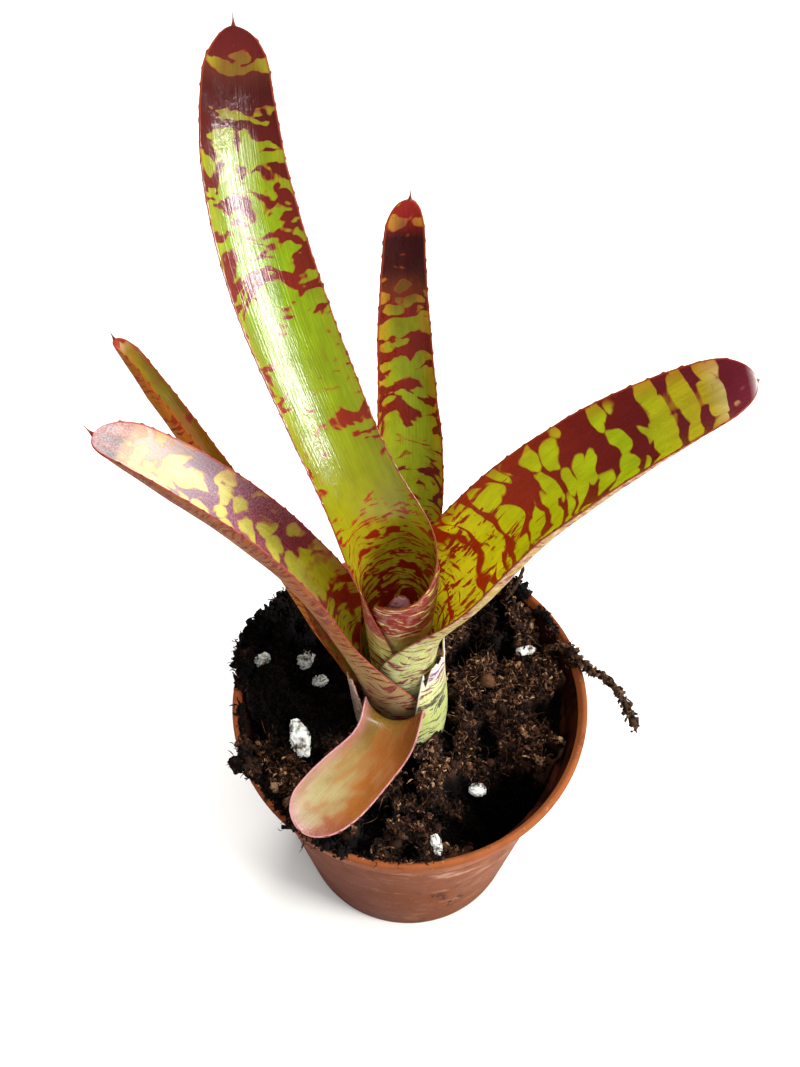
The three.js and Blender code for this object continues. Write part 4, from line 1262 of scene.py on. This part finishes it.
def pot_material():
    """Terracotta-coloured plastic: lighter at the lip and darker low down, lighter on the front
    right as painted light, and near black inside from soil dirt and painted shade; with a worn
    line under the collar, chalky scuffs drawn stronger on the lit front right, chalky smears
    that run round it and sink to the front right, dark rubbed marks low on the front, and dust."""
    material, tree, shader = new_material("pot_plastic", 0.5, **{
        "IOR": 1.12, "Specular IOR Level": 0.1})
    place = object_place(tree)
    x, y, z = axes(place)
    high = z / (POT["height"] * MM)
    turn = maths("ARCTAN2", y, x)
    base = ramp(high, {
        0: "#4a1e0f", 0.35: "#5c2814", 0.8: "#6a3018", 0.84: "#703219", 0.855: "#8a4c2e",
        0.955: "#804024", 0.975: "#864829", 1: "#824526"})
    cloud = noise(place, 45.0, 4.0)
    base = blend(between(cloud, 0.4, 0.68, 0.0, 0.55), base, "#552816")
    runs = noise(place, 170.0, 3.0, 0.6, (1, 1, 0.07))
    base = blend(between(runs, 0.5, 0.68, 0.0, 0.45), base, "#4e2210")
    # Painted light: the pot is lighter on its front right, where the light falls.
    lit_front_right = near(turn, -0.8, 0.35, 1.5)
    base = blend(lit_front_right * 0.3, base, "#a4643c")

    chalk = noise(joined(turn * 0.04, 0.0, z * 2.0), 90.0, 5.0, 0.66)
    band = ramp(high, {0: 0.3, 0.3: 0.5, 0.55: 0.6, 0.7: 0.75, 0.83: 0.9, 0.9: 0.8,
                       0.965: 0.3, 0.98: 0.0})
    # Chalky scuffs: real chalk, drawn stronger on the lit front right as painted light.
    chalk_and_light = between(chalk, 0.52, 0.68) * band * between(lit_front_right, 0.0, 1.0, 0.12, 1.0)
    colour = blend(chalk_and_light * 0.75, base, "#bc9074")
    smear = near(z, 0.022 - turn * 0.0288, 0.0006, 0.0045, 0.6)
    smear = smear * (between(chalk, 0.42, 0.62) * near(turn, -1.25, 0.2, 0.65))
    colour = blend(smear, colour, "#c8a48c")
    step_line = near(z, 0.0708, 0.0002, 0.0011, 0.6) * between(chalk, 0.42, 0.56)
    colour = blend(step_line, colour, "#c09a7c")

    low_front = near(turn, -1.3, 0.1, 0.34) * near(z, 0.03, 0.006, 0.02)
    dirt = noise(place, 300.0, 5.0, 0.7, (1, 1, 0.5))
    colour = blend(low_front * between(dirt, 0.5, 0.66), colour, "#30130a")
    stain = noise(place, 120.0, 5.0, 0.7, (1, 1, 0.7))
    colour = blend(between(stain, 0.58, 0.7, 0.0, 0.5), colour, "#3f1f14")
    specks = noise(place, 900.0, 2.0)
    colour = blend(between(specks, 0.68, 0.74, 0.0, 0.6), colour, "#3c1e14")
    colour = blend(between(specks, 0.25, 0.31, 0.4, 0.0), colour, "#c8a890")
    # Inside, the pot is near black: dirt from the soil and painted shade.
    soiled_and_shaded = blend(between(stain, 0.4, 0.6), "#3a1a10", "#140a07")
    colour = blend(attribute(tree, "outer"), soiled_and_shaded, colour)
    rough = chalk_and_light * 0.25 + between(cloud, 0.3, 0.7, 0.42, 0.56)
    scratch = noise(place, 260.0, 4.0, 0.6, (1, 1, 0.25))
    dress(shader, colour, scratch + specks * 0.4, 0.3, rough=rough)
    return material


def perlite_material():
    """White with grey and brown stains, and greyer with painted shade where its grain's tone
    is low.
    """
    material, tree, shader = new_material("perlite_white", 0.75, **{
        "Subsurface Weight": 0.2, "Subsurface Scale": 0.001})
    place = object_place(tree)
    colour = ramp(noise(place, 420.0, 4.0, 0.65), {
        0.3: "#f4f6f2", 0.5: "#e4e7e2", 0.57: "#a9a79f", 0.64: "#3c2c22"})
    # Painted shade: grains of low tone are greyed.
    shaded_grey = blend(1.0, colour, "#7d8078", "MULTIPLY")
    colour = blend(attribute(tree, "tone"), shaded_grey, colour)
    dress(shader, colour, noise(place, 1800.0, 3.0), 0.6)
    return material


def stem_material():
    """Pale straw with faint rings."""
    material, tree, shader = new_material("stem_skin", 0.6)
    rings = noise(object_place(tree), 500.0, 3.0, 0.5, (0.3, 0.3, 1.5))
    dress(shader, ramp(rings, {0.3: "#a8955c", 0.6: "#d6cb9a"}))
    return material


# ---- the plant, its pot and the stage ----

soil_brown = soil_material("soil_brown", ("#3f281b", "#6a4832", "#ae8c6a"))
pot_piece(pot_material())
soil_body(soil_brown)
loose_soil(soil_brown)
white = perlite_material()
for index in range(len(PERLITE)):
    perlite_grain(index, white)
root_brown = soil_material("root_brown", ("#4a3424", "#785a40", "#b09068"))
strand = root_piece(0, root_brown)
root_piece(1, root_brown)
root_crust(strand, root_brown)
upright_shreds(root_brown)
for order, name in enumerate(LEAVES):
    worn = name == "leaf_front" or name.startswith("sheath")
    leaf_piece(name, leaf_material(name), 100 + 10 * order)
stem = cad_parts["stem"]
stem.data.materials.clear()
stem.data.materials.append(stem_material())


def look_at(thing, place, aim):
    """Puts a light or camera at a place, with its view along the aim."""
    thing.location = place
    thing.rotation_euler = Vector(aim).to_track_quat("-Z", "Y").to_euler()


def add_light(name, place, target, size, tall, power, colour, shines=False):
    """A soft rectangular light, that either lights the plant or is only mirrored in it."""
    data = bpy.data.lights.new(name, "AREA")
    data.shape, data.energy, data.color = "RECTANGLE", power, colour
    data.size, data.size_y = size, tall
    lamp = add_object(name, data)
    look_at(lamp, place, Vector(target) - Vector(place))
    lamp.visible_diffuse, lamp.visible_glossy = not shines, shines


def add_stage():
    """A wide pale floor, soft lights and an even pale world."""
    mesh = bpy.data.meshes.new("floor")
    half = 4.0
    mesh.from_pydata([(-half, -half, 0), (half, -half, 0), (half, half, 0), (-half, half, 0)],
                     [], [(0, 1, 2, 3)])
    floor = add_object("floor", mesh)
    mesh.materials.append(new_material("pale_floor", 0.85, rgb("#f4f3f1"))[0])
    for light in LIGHTS:
        add_light(*light)
    world = bpy.data.worlds.new("studio")
    world.use_nodes = True
    background = world.node_tree.nodes["Background"]
    background.inputs["Color"].default_value = (1, 1, 1, 1)
    background.inputs["Strength"].default_value = 0.5
    bpy.context.scene.world = world
    bpy.context.scene.view_settings.view_transform = "Standard"


def add_camera():
    """The scene's camera, looking down into the rosette from the front."""
    data = bpy.data.cameras.new("camera")
    data.lens, data.sensor_width = CAMERA["lens"], 36
    camera = add_object("camera", data)
    down, turn = np.radians(CAMERA["down"]), np.radians(CAMERA["turn"])
    aim = (np.sin(turn) * np.cos(down), np.cos(turn) * np.cos(down), -np.sin(down))
    look_at(camera, Vector(CAMERA["place"]) * MM, aim)
    bpy.context.scene.camera = camera


add_stage()
add_camera()
